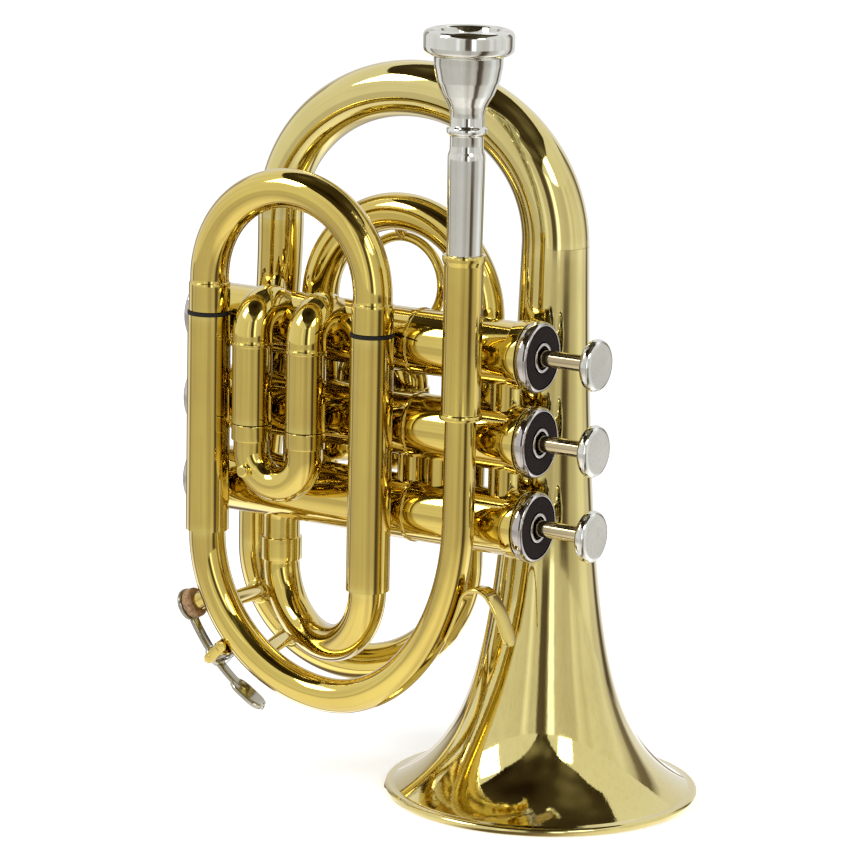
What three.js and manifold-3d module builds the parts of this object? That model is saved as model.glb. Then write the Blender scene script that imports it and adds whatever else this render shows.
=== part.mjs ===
// Pocket trumpet, in millimetres, standing on its bell.
// X runs along the valves towards the finger buttons, Y runs away from the front, Z runs up.
// The bell's axis is the line X = 0, Y = 0 until the finished group is centred on its foot.
import * as THREE from 'three';
import { mergeVertices } from 'three/addons/utils/BufferGeometryUtils.js';
import Module from 'manifold-3d';

const wasm = await Module();
wasm.setup();

// Clearances
const seatGap = 0.3; // between pieces that touch or are soldered
const clearGap = 0.6; // between pieces that pass each other
const overrun = 4; // how far a cutter runs past what it cuts

// Facets
const tubeFacets = 11;
const boreFacets = 8;
const finePostFacets = 8;
const turnedFacets = 14;
const bellFacets = 28;
const bowSteps = 12; // steps of a half turn in a large bow
const smallBowSteps = 8; // steps of a half turn in a small bow
const kneeSteps = 4; // steps of a quarter turn
const curlSteps = 8; // steps of a spring's curl
const wireFacets = 5;

// Tubing
const tubeWall = 0.5;
const sleeveRadius = 6.5; // outer tubes that slides run in
const sleeveBore = 6;
const legRadius = 5.4; // legs that run in the sleeves
const legBore = 4.9;
const ferruleRadius = 6.3;

// Bell
const rimRadius = 48.9;
const rimBead = 1.45; // radius of the rolled edge
const beadPoints = 8;
const bellWall = 1.25;
const bellNeck = 5.2; // radius that the flare closes in on
const flareReach = 20; // length over which the flare opens
const flarePower = 0.945;
const bellHeight = 172; // where the bell ends and its bow begins
const flareRings = 10;
const flareCrowding = 2.4; // packs the flare's rings towards the rim

// Valve cluster
const valveCount = 3;
const valvePitch = 26;
const lowValveDrop = 81.6; // valve 3 below the bell's end
const lowValveHeight = bellHeight - lowValveDrop;
const bellToCap = 0.48;
const capFace = 11.8; // along X, from the bell's axis
const casingRadius = 9.9;
const casingBore = 9.1;
const collarRadius = 10.5;
const collarLength = 3.9;
const bodyRingRadius = 10.35;
const bodyRingWidth = 1.2;
const bodyRingBack = 43.3; // from the cap's face
const valveLength = 126.4; // from the cap's face to the end of the bottom cap

const topCapRadius = 10.9;
const topCapLength = 4;
const capChamfer = 0.6;
const capRimWidth = 1.3;
const capRecess = 1.5;
const capHole = 3.6;
const capNose = 4.6; // outer radius of the ring round the stem
const capNoseRise = 0.2;
const feltSink = 0.15;

const bottomCapRadius = 11.2;
const bottomCapLength = 5.4;
const bottomCapLip = 2.4; // length of the cap's straight side
const bottomCapFlat = 4.2; // radius of the flat end
const bottomCapShoulder = 9.4; // radius half way up the dome
const bottomCapWall = 0.8;

// Piston, stem, button, guide and spring
const stroke = 15;
const pistonRadius = 8.6;
const pistonWall = 0.7;
const barrelRadius = 7.9;
const barrelWall = 0.9;
const barrelLength = 35;
const pistonBody = 52;
const pistonDeck = 1.5;
const pistonVent = 2.4;
const guideThickness = 2;
const guideLug = 4; // width of the lugs
const guideReach = 8.6;
const springRadius = 5.3;
const springWire = 0.5; // radius of the wire
const springCurls = 5;
const stemRadius = 2.5;
const stemPlate = 1.7;
const stemPlug = 2.2;
const buttonRadius = 7.9;
const buttonTop = 7.3;
const buttonThickness = 4.5;
const buttonEdge = 1;
const buttonHub = 3.4;
const buttonHubLength = 1.2;

// Planes of the tubing, along Y
const flareRadiusAt = (height) =>
  bellNeck +
  (rimRadius - rimBead / 2 - bellNeck) *
    (flareReach / (flareReach + Math.max(height, rimBead) - rimBead)) ** flarePower;
const valvePlane = -(flareRadiusAt(lowValveHeight) + bellToCap + topCapRadius);
const frontGap = 0.8; // between the casings and the front sleeves
const backGap = 0.4; // between the casings and the back sleeves
const tuningSleeveRadius = 6.7;
const frontPlane = valvePlane - casingRadius - frontGap - tuningSleeveRadius;
const backPlane = valvePlane + casingRadius + backGap + sleeveRadius;
const valveHeight = (number) => lowValveHeight + valvePitch * (valveCount - number);
const [firstValve, secondValve, thirdValve] = [1, 2, 3].map(valveHeight);

// Bell bow, bell leg, back bow and return leg
const bellBowRise = 43.6;
const bellLegPlace = -95; // X of the bell bow's far end
const bowEndRadius = 7.2; // bell bow at the bell leg
const backTubeRadius = 6;
const backBowLeft = -102.4;
const backBowDrop = 24; // below valve 3
const backBowHeight = thirdValve - backBowDrop;
const returnPlace = -32.8;
const returnPortDrop = 2.4; // the return leg enters below the axis of valve 1
const returnBend = 10;
const returnPlane = backPlane + sleeveRadius + seatGap + backTubeRadius;

// Mouthpiece, from its rim down
const receiverRise = 31.6; // receiver's mouth above valve 1
const receiverTop = firstValve + receiverRise;
const mouthpieceStands = 66.9; // above the receiver's mouth
const rimTop = receiverTop + mouthpieceStands;
const mouthRimRadius = 13.5;
const mouthRimHeight = 7.6;
const rimRound = 1.4;
const cupRadius = 8.3;
const cupDepth = 19.5;
const cupBody = 10.3;
const throat = 1.9;
const neckDrop = 25;
const neckHeight = rimTop - neckDrop;
const neckRadius = 5.05;
const neckBead = 6.1;
const neckBeadDrop = 30;
const neckBeadHeight = rimTop - neckBeadDrop;
const neckBeadWidth = 1.4;
const shankShoulder = 5.6;
const shankShoulderDrop = 37.3;
const shankShoulderHeight = rimTop - shankShoulderDrop;
const shankMouthRadius = 5.3; // where the shank meets the receiver's mouth
const shankEndRadius = 4.7;
const shankEndBore = 3.9;
const shankEngaged = 24;

// Receiver and leadpipe
const leadPlace = -5.9;
const receiverRadius = 5.95;
const receiverLength = 49.6;
const receiverFoot = receiverTop - receiverLength;
const receiverBead = 6.55;
const receiverBeadWidth = 1.6;
const leadRadius = 4.55;
const leadBowRadius = 4.9; // leadpipe where the front bow begins
const frontBowRadius = 5.7; // front bow where it meets the left sleeve
const frontBowDrop = 12.7; // below valve 3
const frontBowHeight = thirdValve - frontBowDrop;
const leadBendRise = 2.6; // where the leadpipe begins to turn, above valve 3

// Main tuning slide
const leftSleevePlace = -97.8;
const rightSleevePlace = -37.8;
const sleeveRise = 3.2; // mouths of the sleeves above valve 1
const sleeveTop = firstValve + sleeveRise;
const tuningSleeveBore = 6.2;
const tuningLegRadius = 5.7;
const tuningLegBore = 5.2;
const tuningFerruleRadius = 6.4;
const tuningBowRadius = 6;
const stopRing = 0.6; // thickness of the black rings
const tuningFerrule = 8.9;
const tuningStraight = 1.8;
const tuningLeg = 46;

// Entry bow
const entryPlace = -81.6;
const entryDrop = 23.1; // below valve 3
const entryHeight = thirdValve - entryDrop;
const entryDepth = 21.5;
const entryRadius = 5.75;
const entryFerrule = 7.2;

// First valve slide
const firstLeft = -81.5;
const firstRight = -61.6;
const firstSlantDegrees = 50; // of the knuckles
const firstBend = 8;
const firstTubeRadius = 6.2;
const firstTubeBore = 5.6;
const firstTubeDrop = 28.8; // below valve 1
const firstTubeFoot = firstValve - firstTubeDrop;
const firstLegRadius = 5.1;
const firstLegBore = 4.6;
const firstLeg = 22;
const firstFerrule = 5;
const firstStraight = 3;
const firstBowRadius = 5.5;
const knobRadius = 2;
const knobReach = 2.4;
const knobDegrees = 35; // down from the bow's left end

// Second valve slide
const secondLeft = -66;
const secondRight = -46;
const secondSlantDegrees = 60; // of the knuckles
const secondBend = 6.6;
const secondTubeRise = 5; // above valve 2
const secondTubeTop = secondValve + secondTubeRise;
const secondLeg = 9.5;
const secondFerrule = 2.2;
const secondBowRadius = 5.8;

// Third valve slide
const thirdLeft = -79.7;
const thirdRight = -18.9;
const thirdRightPort = -25.5;
const thirdSlantDegrees = 14; // of the knuckles
const thirdBend = 7;
const thirdTubeRise = 0.6; // above valve 1
const thirdTubeTop = firstValve + thirdTubeRise;
const thirdLeg = 18.5;
const thirdFerrule = 4.5;
const thirdBowRadius = 5.8;
const offsetRise = 7.1; // above valve 2
const offsetTop = secondValve + offsetRise;
const offsetLength = 16;

// Finger ring
const ringInner = 12.8;
const ringWire = 1.55;
const ringLeft = 5; // from the middle of the third slide's bow
const ringRise = 11.6; // above the third slide's tubes
const ringHeight = thirdTubeTop + ringRise;
const ringFacets = 20;
const ringPost = 1.6;

// Braces
const crossoverRadius = 4.5;
const crossoverRises = [20.6, 38.6]; // from the end of the bottom cap
const crossoverDrop = 12.8; // from the cap's face
const braceRadius = 2.6;
const flangeRadius = 4.3;
const flangeThickness = 1.5;
const bowBraceDegrees = [
  [210, 205.4],
  [236, 231.6],
];
const legBracePlace = -86;
const legBraceRise = 13.6; // above valve 1
const legBraceHeight = firstValve + legBraceRise;

// Finger hook
const hookWidth = 6.5;
const hookThickness = 1.1;
const hookFootShares = [0.195, 0.115]; // of the way round the front bow
const hookBend = 5.4;
const hookTurnDegrees = 123;
const hookEase = 25;
const hookEaseDegrees = 18;
const hookTip = 8;

// Water key, round the centre of the front bow
const keyPadDegrees = 206;
const nippleRadius = 3;
const nippleHeight = 3;
const corkRadius = 4.75;
const corkThickness = 2.6;
const keyCupRadius = 5.25;
const keyCupThickness = 1.8;
const keyPinDegrees = 224.3;
const keyPin = 0.9;
const keyBarrel = 1.8;
const keyBarrelHalf = 4.7;
const keyArmWidth = 3;
const keyArmThickness = 1.6;
const keyPaddleDegrees = 238.3;
const keyPaddleRadius = 3.6;
const keyPaddleLength = 4.6;
const earThickness = 1.2;
const earRadius = 2.1;
const earFootWidth = 6.4;
const keySpringWire = 0.28;
const keySpringCurls = 2;
const keySpringPitch = 1.02;

// Materials
const finish = (color, roughness, metalness) =>
  new THREE.MeshStandardMaterial({ color, roughness, metalness });
const brass = () => finish(0xd8ae45, 0.15, 1);
const silver = () => finish(0xcfd0d2, 0.12, 1);
const nickel = () => finish(0xb9b8b4, 0.2, 1);
const steel = () => finish(0x9a9a9c, 0.35, 1);
const felt = () => finish(0x141414, 0.95, 0);
const rubber = () => finish(0x0c0c0c, 0.7, 0);
const cork = () => finish(0x9c6b3d, 0.9, 0);

// Directions
const right = new THREE.Vector3(1, 0, 0);
const back = new THREE.Vector3(0, 1, 0);
const up = new THREE.Vector3(0, 0, 1);
const front = back.clone().negate();
const down = up.clone().negate();
const at = (x, y, z) => new THREE.Vector3(x, y, z);
const radians = THREE.MathUtils.degToRad;

// Solids and booleans
function solidOf(geometry) {
  const bare = geometry.clone();
  bare.deleteAttribute('normal');
  bare.deleteAttribute('uv');
  const merged = mergeVertices(bare);
  const mesh = new wasm.Mesh({
    numProp: 3,
    vertProperties: merged.attributes.position.array,
    triVerts: new Uint32Array(merged.index.array),
  });
  return new wasm.Manifold(mesh);
}

function geometryOf(solid) {
  const { vertProperties, triVerts } = solid.getMesh();
  const geometry = new THREE.BufferGeometry();
  geometry.setAttribute('position', new THREE.BufferAttribute(vertProperties, 3));
  geometry.setIndex(new THREE.BufferAttribute(triVerts, 1));
  return geometry;
}

const cut = (geometry, ...cutters) =>
  geometryOf(cutters.reduce((rest, cutter) => rest.subtract(solidOf(cutter)), solidOf(geometry)));

const join = (first, ...others) =>
  geometryOf(others.reduce((sum, other) => sum.add(solidOf(other)), solidOf(first)));

// Turns every face of a closed geometry outwards
function facingOut(geometry) {
  const { position } = geometry.attributes;
  const corners = geometry.index ?? { count: position.count, getX: (i) => i };
  const [a, b, c] = [new THREE.Vector3(), new THREE.Vector3(), new THREE.Vector3()];
  let volume = 0;
  for (let i = 0; i < corners.count; i += 3) {
    a.fromBufferAttribute(position, corners.getX(i));
    b.fromBufferAttribute(position, corners.getX(i + 1));
    c.fromBufferAttribute(position, corners.getX(i + 2));
    volume += a.dot(b.cross(c));
  }
  if (volume > 0) return geometry;
  const turned = [];
  for (let i = 0; i < corners.count; i += 3) {
    turned.push(corners.getX(i), corners.getX(i + 2), corners.getX(i + 1));
  }
  geometry.setIndex(turned);
  return geometry;
}

// A solid of revolution from [radius, place] pairs, about Z or about X
function turned(profile, facets = turnedFacets) {
  const points = profile.map(([radius, place]) => new THREE.Vector2(radius, place));
  return new THREE.LatheGeometry(points, facets).rotateX(Math.PI / 2);
}
const turnedUp = (profile, facets) => facingOut(turned(profile, facets));
const turnedAlongX = (profile, facets) =>
  facingOut(turned(profile, facets).rotateY(Math.PI / 2));

const ringProfile = (inner, outer, low, high) => [
  [inner, low],
  [outer, low],
  [outer, high],
  [inner, high],
  [inner, low],
];
const rodProfile = (radius, low, high) => [
  [0, low],
  [radius, low],
  [radius, high],
  [0, high],
];

// A round rod between two points
function rod(from, to, radius, facets = tubeFacets) {
  const length = from.distanceTo(to);
  const geometry = turnedUp(rodProfile(radius, 0, length), facets);
  const turn = new THREE.Quaternion().setFromUnitVectors(
    up,
    to.clone().sub(from).normalize(),
  );
  return geometry.applyQuaternion(turn).translate(from.x, from.y, from.z);
}

// A circular bend
class Bend extends THREE.Curve {
  constructor(centre, spoke, axis, angle) {
    super();
    Object.assign(this, { centre, spoke, axis, angle });
  }

  getPoint(t, target = new THREE.Vector3()) {
    return target.copy(this.spoke).applyAxisAngle(this.axis, this.angle * t).add(this.centre);
  }

  getTangent(t, target = new THREE.Vector3()) {
    const spoke = this.spoke.clone().applyAxisAngle(this.axis, this.angle * t);
    return target.crossVectors(this.axis, spoke).multiplyScalar(Math.sign(this.angle)).normalize();
  }
}

// An arch between two points through its lowest or highest height, each half a quarter ellipse
class Arch extends THREE.Curve {
  constructor(from, to, turnHeight) {
    super();
    Object.assign(this, { from, to, turnHeight });
    this.half = from.clone().sub(to).multiplyScalar(1 / 2).setZ(0);
    this.centre = from.clone().sub(this.half);
  }

  footAt(t) {
    return t < 1 / 2 ? this.from.z : this.to.z;
  }

  getPoint(t, target = new THREE.Vector3()) {
    const angle = Math.PI * t;
    const foot = this.footAt(t);
    target.copy(this.centre).addScaledVector(this.half, Math.cos(angle));
    return target.setZ(THREE.MathUtils.lerp(foot, this.turnHeight, Math.sin(angle)));
  }

  getTangent(t, target = new THREE.Vector3()) {
    const angle = Math.PI * t;
    target.copy(this.half).multiplyScalar(-Math.sin(angle));
    return target.setZ((this.turnHeight - this.footAt(t)) * Math.cos(angle)).normalize();
  }
}

// A route of straight runs and bends, each with its own steps and tube size
class Route extends THREE.Curve {
  constructor(start, heading) {
    super();
    this.end = start.clone();
    this.heading = heading.clone().normalize();
    this.parts = [];
    this.steps = 0;
  }

  follow(curve, steps, size) {
    this.parts.push({ curve, steps, size, first: this.steps });
    this.steps += steps;
    this.end = curve.getPoint(1);
    this.heading = curve.getTangent(1);
    return this;
  }

  run(length, size) {
    const end = this.end.clone().addScaledVector(this.heading, length);
    return this.follow(new THREE.LineCurve3(this.end, end), 1, size);
  }

  bend(radius, degrees, axis, steps, size) {
    const turn = radians(degrees);
    const inward = new THREE.Vector3().crossVectors(axis, this.heading).normalize();
    inward.multiplyScalar(Math.sign(turn));
    const centre = this.end.clone().addScaledVector(inward, radius);
    const spoke = this.end.clone().sub(centre);
    return this.follow(new Bend(centre, spoke, axis, turn), steps, size);
  }

  // Two equal and opposite bends that move the route sideways over a length
  sidestep(length, offset, axis, steps, size) {
    const degrees = THREE.MathUtils.radToDeg(2 * Math.atan(offset / length));
    const radius = length / (2 * Math.sin(radians(Math.abs(degrees))));
    const [first, second] = size ? size : [];
    this.bend(radius, degrees, axis, steps, first);
    return this.bend(radius, -degrees, axis, steps, second);
  }

  locate(t) {
    const place = t * this.steps;
    const part = this.parts.find(({ first, steps }) => place <= first + steps) ?? this.parts.at(-1);
    return [part.curve, (place - part.first) / part.steps];
  }

  getPoint(t, target) {
    const [curve, share] = this.locate(t);
    return curve.getPoint(share, target);
  }

  getTangent(t, target) {
    const [curve, share] = this.locate(t);
    return curve.getTangent(share, target);
  }

  getPointAt(t, target) {
    return this.getPoint(t, target);
  }

  getTangentAt(t, target) {
    return this.getTangent(t, target);
  }
}

const polygon = (radius, facets) =>
  Array.from({ length: facets }, (_, i) => {
    const angle = (2 * Math.PI * i) / facets;
    return new THREE.Vector2(radius * Math.cos(angle), radius * Math.sin(angle));
  });

// A tube of one size along a route, or a rod where it has no bore
function tube(route, radius, bore, facets = tubeFacets, holeFacets = boreFacets) {
  const section = new THREE.Shape(polygon(radius, facets));
  if (bore) section.holes.push(new THREE.Path(polygon(bore, holeFacets)));
  return facingOut(
    new THREE.ExtrudeGeometry(section, { steps: route.steps, extrudePath: route }),
  );
}

// Tube sizes: even, widening, or with a bore of its own
const even = (radius, wall = tubeWall) => ({ radius: [radius, radius], bore: [radius - wall, radius - wall] });
const widening = (from, to, wall = tubeWall) => ({ radius: [from, to], bore: [from - wall, to - wall] });
const bored = (radius, bore) => ({ radius: [radius, radius], bore: [bore, bore] });

// A stepped or widening tube: rings of the outside and of the bore, joined along the route
function steppedTube(route, facets = tubeFacets, holeFacets = boreFacets) {
  const frames = route.computeFrenetFrames(route.steps);
  const vertices = [];
  const faces = [];

  const addRing = (station, radius, count) => {
    const centre = route.getPoint(station / route.steps);
    const first = vertices.length / 3;
    for (const { x, y } of polygon(radius, count)) {
      const point = centre.clone();
      point.addScaledVector(frames.normals[station], x);
      point.addScaledVector(frames.binormals[station], y);
      vertices.push(...point.toArray());
    }
    return first;
  };

  const addWall = (which, count) => {
    const rings = [];
    let last = null;
    for (const { first, steps, size } of route.parts) {
      const [from, to] = size[which];
      for (let i = 0; i <= steps; i++) {
        const radius = THREE.MathUtils.lerp(from, to, i / steps);
        if (i === 0 && last === radius) continue;
        rings.push(addRing(first + i, radius, count));
        last = radius;
      }
    }
    return rings;
  };

  const joinRings = (rings, count, outside) => {
    for (let k = 0; k + 1 < rings.length; k++) {
      for (let i = 0; i < count; i++) {
        const [a, b] = [rings[k] + i, rings[k] + ((i + 1) % count)];
        const [c, d] = [rings[k + 1] + i, rings[k + 1] + ((i + 1) % count)];
        faces.push(...(outside ? [a, b, d, a, d, c] : [a, d, b, a, c, d]));
      }
    }
  };

  const outer = addWall('radius', facets);
  const inner = addWall('bore', holeFacets);
  joinRings(outer, facets, true);
  joinRings(inner, holeFacets, false);

  const closeEnd = (outerFirst, innerFirst, part, atStart) => {
    const pick = atStart ? 0 : 1;
    const contour = polygon(part.size.radius[pick], facets);
    const hole = polygon(part.size.bore[pick], holeFacets);
    const vertexOf = (i) => (i < facets ? outerFirst + i : innerFirst + i - facets);
    for (const face of THREE.ShapeUtils.triangulateShape(contour, [hole])) {
      const [a, b, c] = face.map(vertexOf);
      faces.push(...(atStart ? [a, c, b] : [a, b, c]));
    }
  };
  closeEnd(outer[0], inner[0], route.parts[0], true);
  closeEnd(outer.at(-1), inner.at(-1), route.parts.at(-1), false);

  const geometry = new THREE.BufferGeometry();
  geometry.setAttribute('position', new THREE.Float32BufferAttribute(vertices, 3));
  geometry.setIndex(faces);
  return facingOut(geometry);
}

const model = new THREE.Group();

function place(name, geometry, material, parent = model) {
  const mesh = new THREE.Mesh(geometry, material);
  mesh.name = name;
  parent.add(mesh);
  return mesh;
}

// What a casing's outside takes away from a piece that is soldered to it
const collarFoot = capFace - topCapLength - seatGap;
const ringBack = capFace - bodyRingBack;
function casingOutline(growth) {
  const low = capFace - valveLength - overrun;
  const ringHalf = bodyRingWidth / 2 + growth;
  return [
    [0, low],
    [casingRadius + growth, low],
    [casingRadius + growth, ringBack - ringHalf],
    [bodyRingRadius + growth, ringBack - ringHalf],
    [bodyRingRadius + growth, ringBack + ringHalf],
    [casingRadius + growth, ringBack + ringHalf],
    [casingRadius + growth, collarFoot - collarLength - growth],
    [collarRadius + growth, collarFoot - collarLength - growth],
    [collarRadius + growth, capFace + overrun],
    [0, capFace + overrun],
  ];
}
const casingCutter = (number) =>
  turnedAlongX(casingOutline(seatGap)).translate(0, valvePlane, valveHeight(number));

// The bell's outside along the valves, grown by a seat's gap
function bellCutter() {
  const top = valveHeight(1) + 2 * casingRadius;
  const low = valveHeight(valveCount) - 2 * casingRadius;
  const profile = [[0, low]];
  for (let i = 0; i <= kneeSteps; i++) {
    const height = low + ((top - low) * i) / kneeSteps;
    profile.push([flareRadiusAt(height) + seatGap, height]);
  }
  profile.push([0, top]);
  return turnedUp(profile, bellFacets);
}

// Bell: a flared horn with a rolled edge that ends in a flat foot
function bell() {
  const beadCentre = rimRadius - rimBead;
  const beadAngle = (i) => (2 * Math.PI * (i + 1 / 2)) / beadPoints;
  const flat = rimBead * Math.cos(Math.PI / beadPoints);
  const bead = [];
  for (let i = 0; i < beadPoints; i++) {
    const angle = beadAngle(i) - Math.PI / 2;
    bead.push([beadCentre + rimBead * Math.cos(angle), flat + rimBead * Math.sin(angle)]);
  }
  const start = flat + rimBead;
  const outside = [];
  const inside = [];
  for (let i = 1; i <= flareRings; i++) {
    const height = start + (bellHeight - start) * (i / flareRings) ** flareCrowding;
    outside.push([flareRadiusAt(height), height]);
    inside.push([flareRadiusAt(height) - bellWall, height]);
  }
  const lip = bead.slice(0, beadPoints / 2);
  const foot = bead.slice(beadPoints / 2 + 1);
  return turnedUp([...foot, ...lip, ...outside, ...inside.reverse(), foot[0]], bellFacets);
}

place('bell', bell(), brass());

// Bell bow and bell leg
const bellMouthRadius = flareRadiusAt(bellHeight);
const bellBowFoot = bellHeight + seatGap;
const bellBow = new Arch(
  at(0, 0, bellBowFoot),
  at(bellLegPlace, backPlane, bellBowFoot),
  bellBowFoot + bellBowRise,
);
const bellBowRoute = new Route(at(0, 0, bellBowFoot), up).follow(
  bellBow,
  bowSteps,
  widening(bellMouthRadius, bowEndRadius, bellWall),
);
place('bell_bow', steppedTube(bellBowRoute, turnedFacets, tubeFacets), brass());

const bellLegLength = bellHeight - backBowHeight - seatGap;
const bowMiddle = (bowEndRadius + backTubeRadius) / 2;
const bellLegRoute = new Route(at(bellLegPlace, backPlane, bellHeight), down).sidestep(
  bellLegLength,
  bellLegPlace - backBowLeft,
  back,
  kneeSteps,
  [widening(bowEndRadius, bowMiddle), widening(bowMiddle, backTubeRadius)],
);
// Post from the bell leg forward to the top of valve 1
function bellLegPost() {
  const axisPlace = at(bellLegPlace, backPlane, legBraceHeight);
  const casingPlace = at(legBracePlace, valvePlane, valveHeight(1));
  const heading = casingPlace.clone().sub(axisPlace).normalize();
  const root = axisPlace.addScaledVector(heading, bowEndRadius - tubeWall);
  return cut(rod(root, casingPlace, braceRadius), casingCutter(1));
}
place('bell_leg', join(steppedTube(bellLegRoute), bellLegPost()), brass());

// Back bow and the return leg into valve 1
const backBowStart = at(backBowLeft, backPlane, backBowHeight);
const backBowEnd = at(returnPlace, returnPlane, backBowHeight);
const backBowAxis = new THREE.Vector3()
  .crossVectors(down, backBowEnd.clone().sub(backBowStart))
  .normalize();
const backBowRoute = new Route(backBowStart, down).bend(
  backBowStart.distanceTo(backBowEnd) / 2,
  180,
  backBowAxis,
  bowSteps,
);
const backTubeBore = backTubeRadius - tubeWall;
place('back_bow', tube(backBowRoute, backTubeRadius, backTubeBore), brass());

const returnPort = valveHeight(1) - returnPortDrop;
const returnRoute = new Route(backBowEnd.clone().addScaledVector(up, seatGap), up)
  .run(returnPort - returnBend - backBowHeight - seatGap)
  .bend(returnBend, 90, right, kneeSteps)
  .run(returnPlane - returnBend - valvePlane);
place('return_leg', cut(tube(returnRoute, backTubeRadius, backTubeBore), casingCutter(1)), brass());

// Mouthpiece: rim, cup, throat, backbore and tapered shank
function mouthpiece() {
  const rimFoot = rimTop - mouthRimHeight;
  const cupFloor = rimTop - cupDepth;
  const shankMouth = receiverTop;
  const shankEnd = receiverTop - shankEngaged;
  const beadHalf = neckBeadWidth / 2;
  const outside = [
    [shankEndRadius, shankEnd],
    [shankMouthRadius, shankMouth],
    [shankShoulder, shankShoulderHeight - neckBeadWidth],
    [shankShoulder, shankShoulderHeight],
    [neckRadius, shankShoulderHeight + neckBeadWidth],
    [neckRadius, neckBeadHeight - neckBeadWidth],
    [neckBead, neckBeadHeight - beadHalf],
    [neckBead, neckBeadHeight + beadHalf],
    [neckRadius, neckBeadHeight + neckBeadWidth],
    [neckRadius, neckHeight],
  ];
  const bodyRise = rimFoot - neckHeight;
  const bodyShares = [
    [0.14, 0.3],
    [0.3, 0.66],
    [0.54, 0.9],
    [1, 1],
  ];
  for (const [riseShare, widthShare] of bodyShares) {
    const radius = neckRadius + (cupBody - neckRadius) * widthShare;
    outside.push([radius, neckHeight + bodyRise * riseShare]);
  }
  const rim = [
    [mouthRimRadius - rimRound, rimFoot],
    [mouthRimRadius, rimFoot + rimRound / 2],
    [mouthRimRadius, rimTop - rimRound],
    [mouthRimRadius - rimRound, rimTop - rimRound / 4],
    [(mouthRimRadius + cupRadius) / 2, rimTop],
    [cupRadius + rimRound / 2, rimTop - rimRound / 4],
  ];
  const cupShares = [
    [0.12, 1],
    [0.55, 0.94],
    [0.82, 0.72],
    [0.95, 0.4],
  ];
  const inside = cupShares.map(([depthShare, widthShare]) => [
    throat + (cupRadius - throat) * widthShare,
    rimTop - cupDepth * depthShare,
  ]);
  inside.push([throat, cupFloor - throat], [shankEndBore, shankEnd]);
  return turnedUp([...outside, ...rim, ...inside, outside[0]]);
}

place('mouthpiece', mouthpiece(), silver()).position.set(leadPlace, frontPlane, 0);

// Mouthpiece receiver: a tapered socket with a beaded mouth and a ring at its foot
function receiver() {
  const facetShare = Math.cos(Math.PI / turnedFacets);
  const mouthBore = shankMouthRadius + seatGap / 2 / facetShare;
  const seatBore = shankEndRadius + seatGap / facetShare;
  const leadBore = leadRadius + seatGap / facetShare;
  const seatEnd = receiverTop - shankEngaged - seatGap;
  const ring = receiverFoot + receiverBeadWidth;
  return turnedUp([
    [leadBore, receiverFoot],
    [receiverBead, receiverFoot],
    [receiverBead, ring],
    [receiverRadius, ring],
    [receiverRadius, receiverTop - receiverBeadWidth * 2],
    [receiverBead, receiverTop - receiverBeadWidth],
    [receiverBead, receiverTop],
    [mouthBore, receiverTop],
    [seatBore, seatEnd],
    [leadBore, seatEnd - seatGap],
    [leadBore, receiverFoot],
  ]);
}

place('mouthpiece_receiver', receiver(), brass()).position.set(leadPlace, frontPlane, 0);

// Leadpipe and front bow, widening all the way to the left sleeve
const frontBowSpan = leadPlace - leftSleevePlace;
const leadTop = receiverTop - shankEngaged - 2 * clearGap;
const leadBend = at(leadPlace, frontPlane, thirdValve + leadBendRise);
const frontBow = new Arch(
  leadBend,
  at(leftSleevePlace, frontPlane, frontBowHeight),
  frontBowHeight - frontBowSpan / 2,
);
const frontBowRoute = new Route(at(leadPlace, frontPlane, leadTop), down)
  .run(leadTop - leadBend.z, widening(leadRadius, leadBowRadius))
  .follow(frontBow, bowSteps, widening(leadBowRadius, frontBowRadius));
place('leadpipe_bow', steppedTube(frontBowRoute), brass());
const frontBowCentre = at((leadPlace + leftSleevePlace) / 2, frontPlane, frontBowHeight);

// Main tuning slide, its sleeves and the black rings at their mouths
function sleeve(x, foot) {
  const bore = rod(
    at(x, frontPlane, foot - overrun),
    at(x, frontPlane, sleeveTop + overrun),
    tuningSleeveBore,
  );
  const posts = [1, valveCount].map((number) => {
    const root = at(x, frontPlane, valveHeight(number) - braceRadius);
    return cut(rod(root, at(x, valvePlane, root.z), braceRadius), casingCutter(number));
  });
  const outside = rod(at(x, frontPlane, foot), at(x, frontPlane, sleeveTop), tuningSleeveRadius);
  return cut(join(outside, ...posts), bore);
}
const ringFoot = sleeveTop + seatGap;
for (const [side, x, foot] of [
  ['left', leftSleevePlace, frontBowHeight + seatGap],
  ['right', rightSleevePlace, entryHeight + seatGap],
]) {
  place(`tuning_sleeve_${side}`, sleeve(x, foot), brass());
  const ring = turnedUp(
    ringProfile(tuningSleeveBore, tuningSleeveRadius, ringFoot, ringFoot + stopRing),
    tubeFacets,
  );
  place(`tuning_stop_ring_${side}`, ring, rubber()).position.set(x, frontPlane, 0);
}

const ferruleFoot = ringFoot + stopRing + seatGap;
const tuningSizes = [tuningLegRadius, tuningFerruleRadius, tuningBowRadius];
const [tuningLegSize, tuningFerruleSize, tuningBowSize] = tuningSizes.map((radius) =>
  bored(radius, tuningLegBore),
);
const tuningRoute = new Route(at(leftSleevePlace, frontPlane, ferruleFoot - tuningLeg), up)
  .run(tuningLeg, tuningLegSize)
  .run(tuningFerrule, tuningFerruleSize)
  .run(tuningStraight, tuningBowSize)
  .bend((rightSleevePlace - leftSleevePlace) / 2, 180, back, bowSteps, tuningBowSize)
  .run(tuningStraight, tuningBowSize)
  .run(tuningFerrule, tuningFerruleSize)
  .run(tuningLeg, tuningLegSize);
place('main_tuning_slide', steppedTube(tuningRoute), brass());

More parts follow.
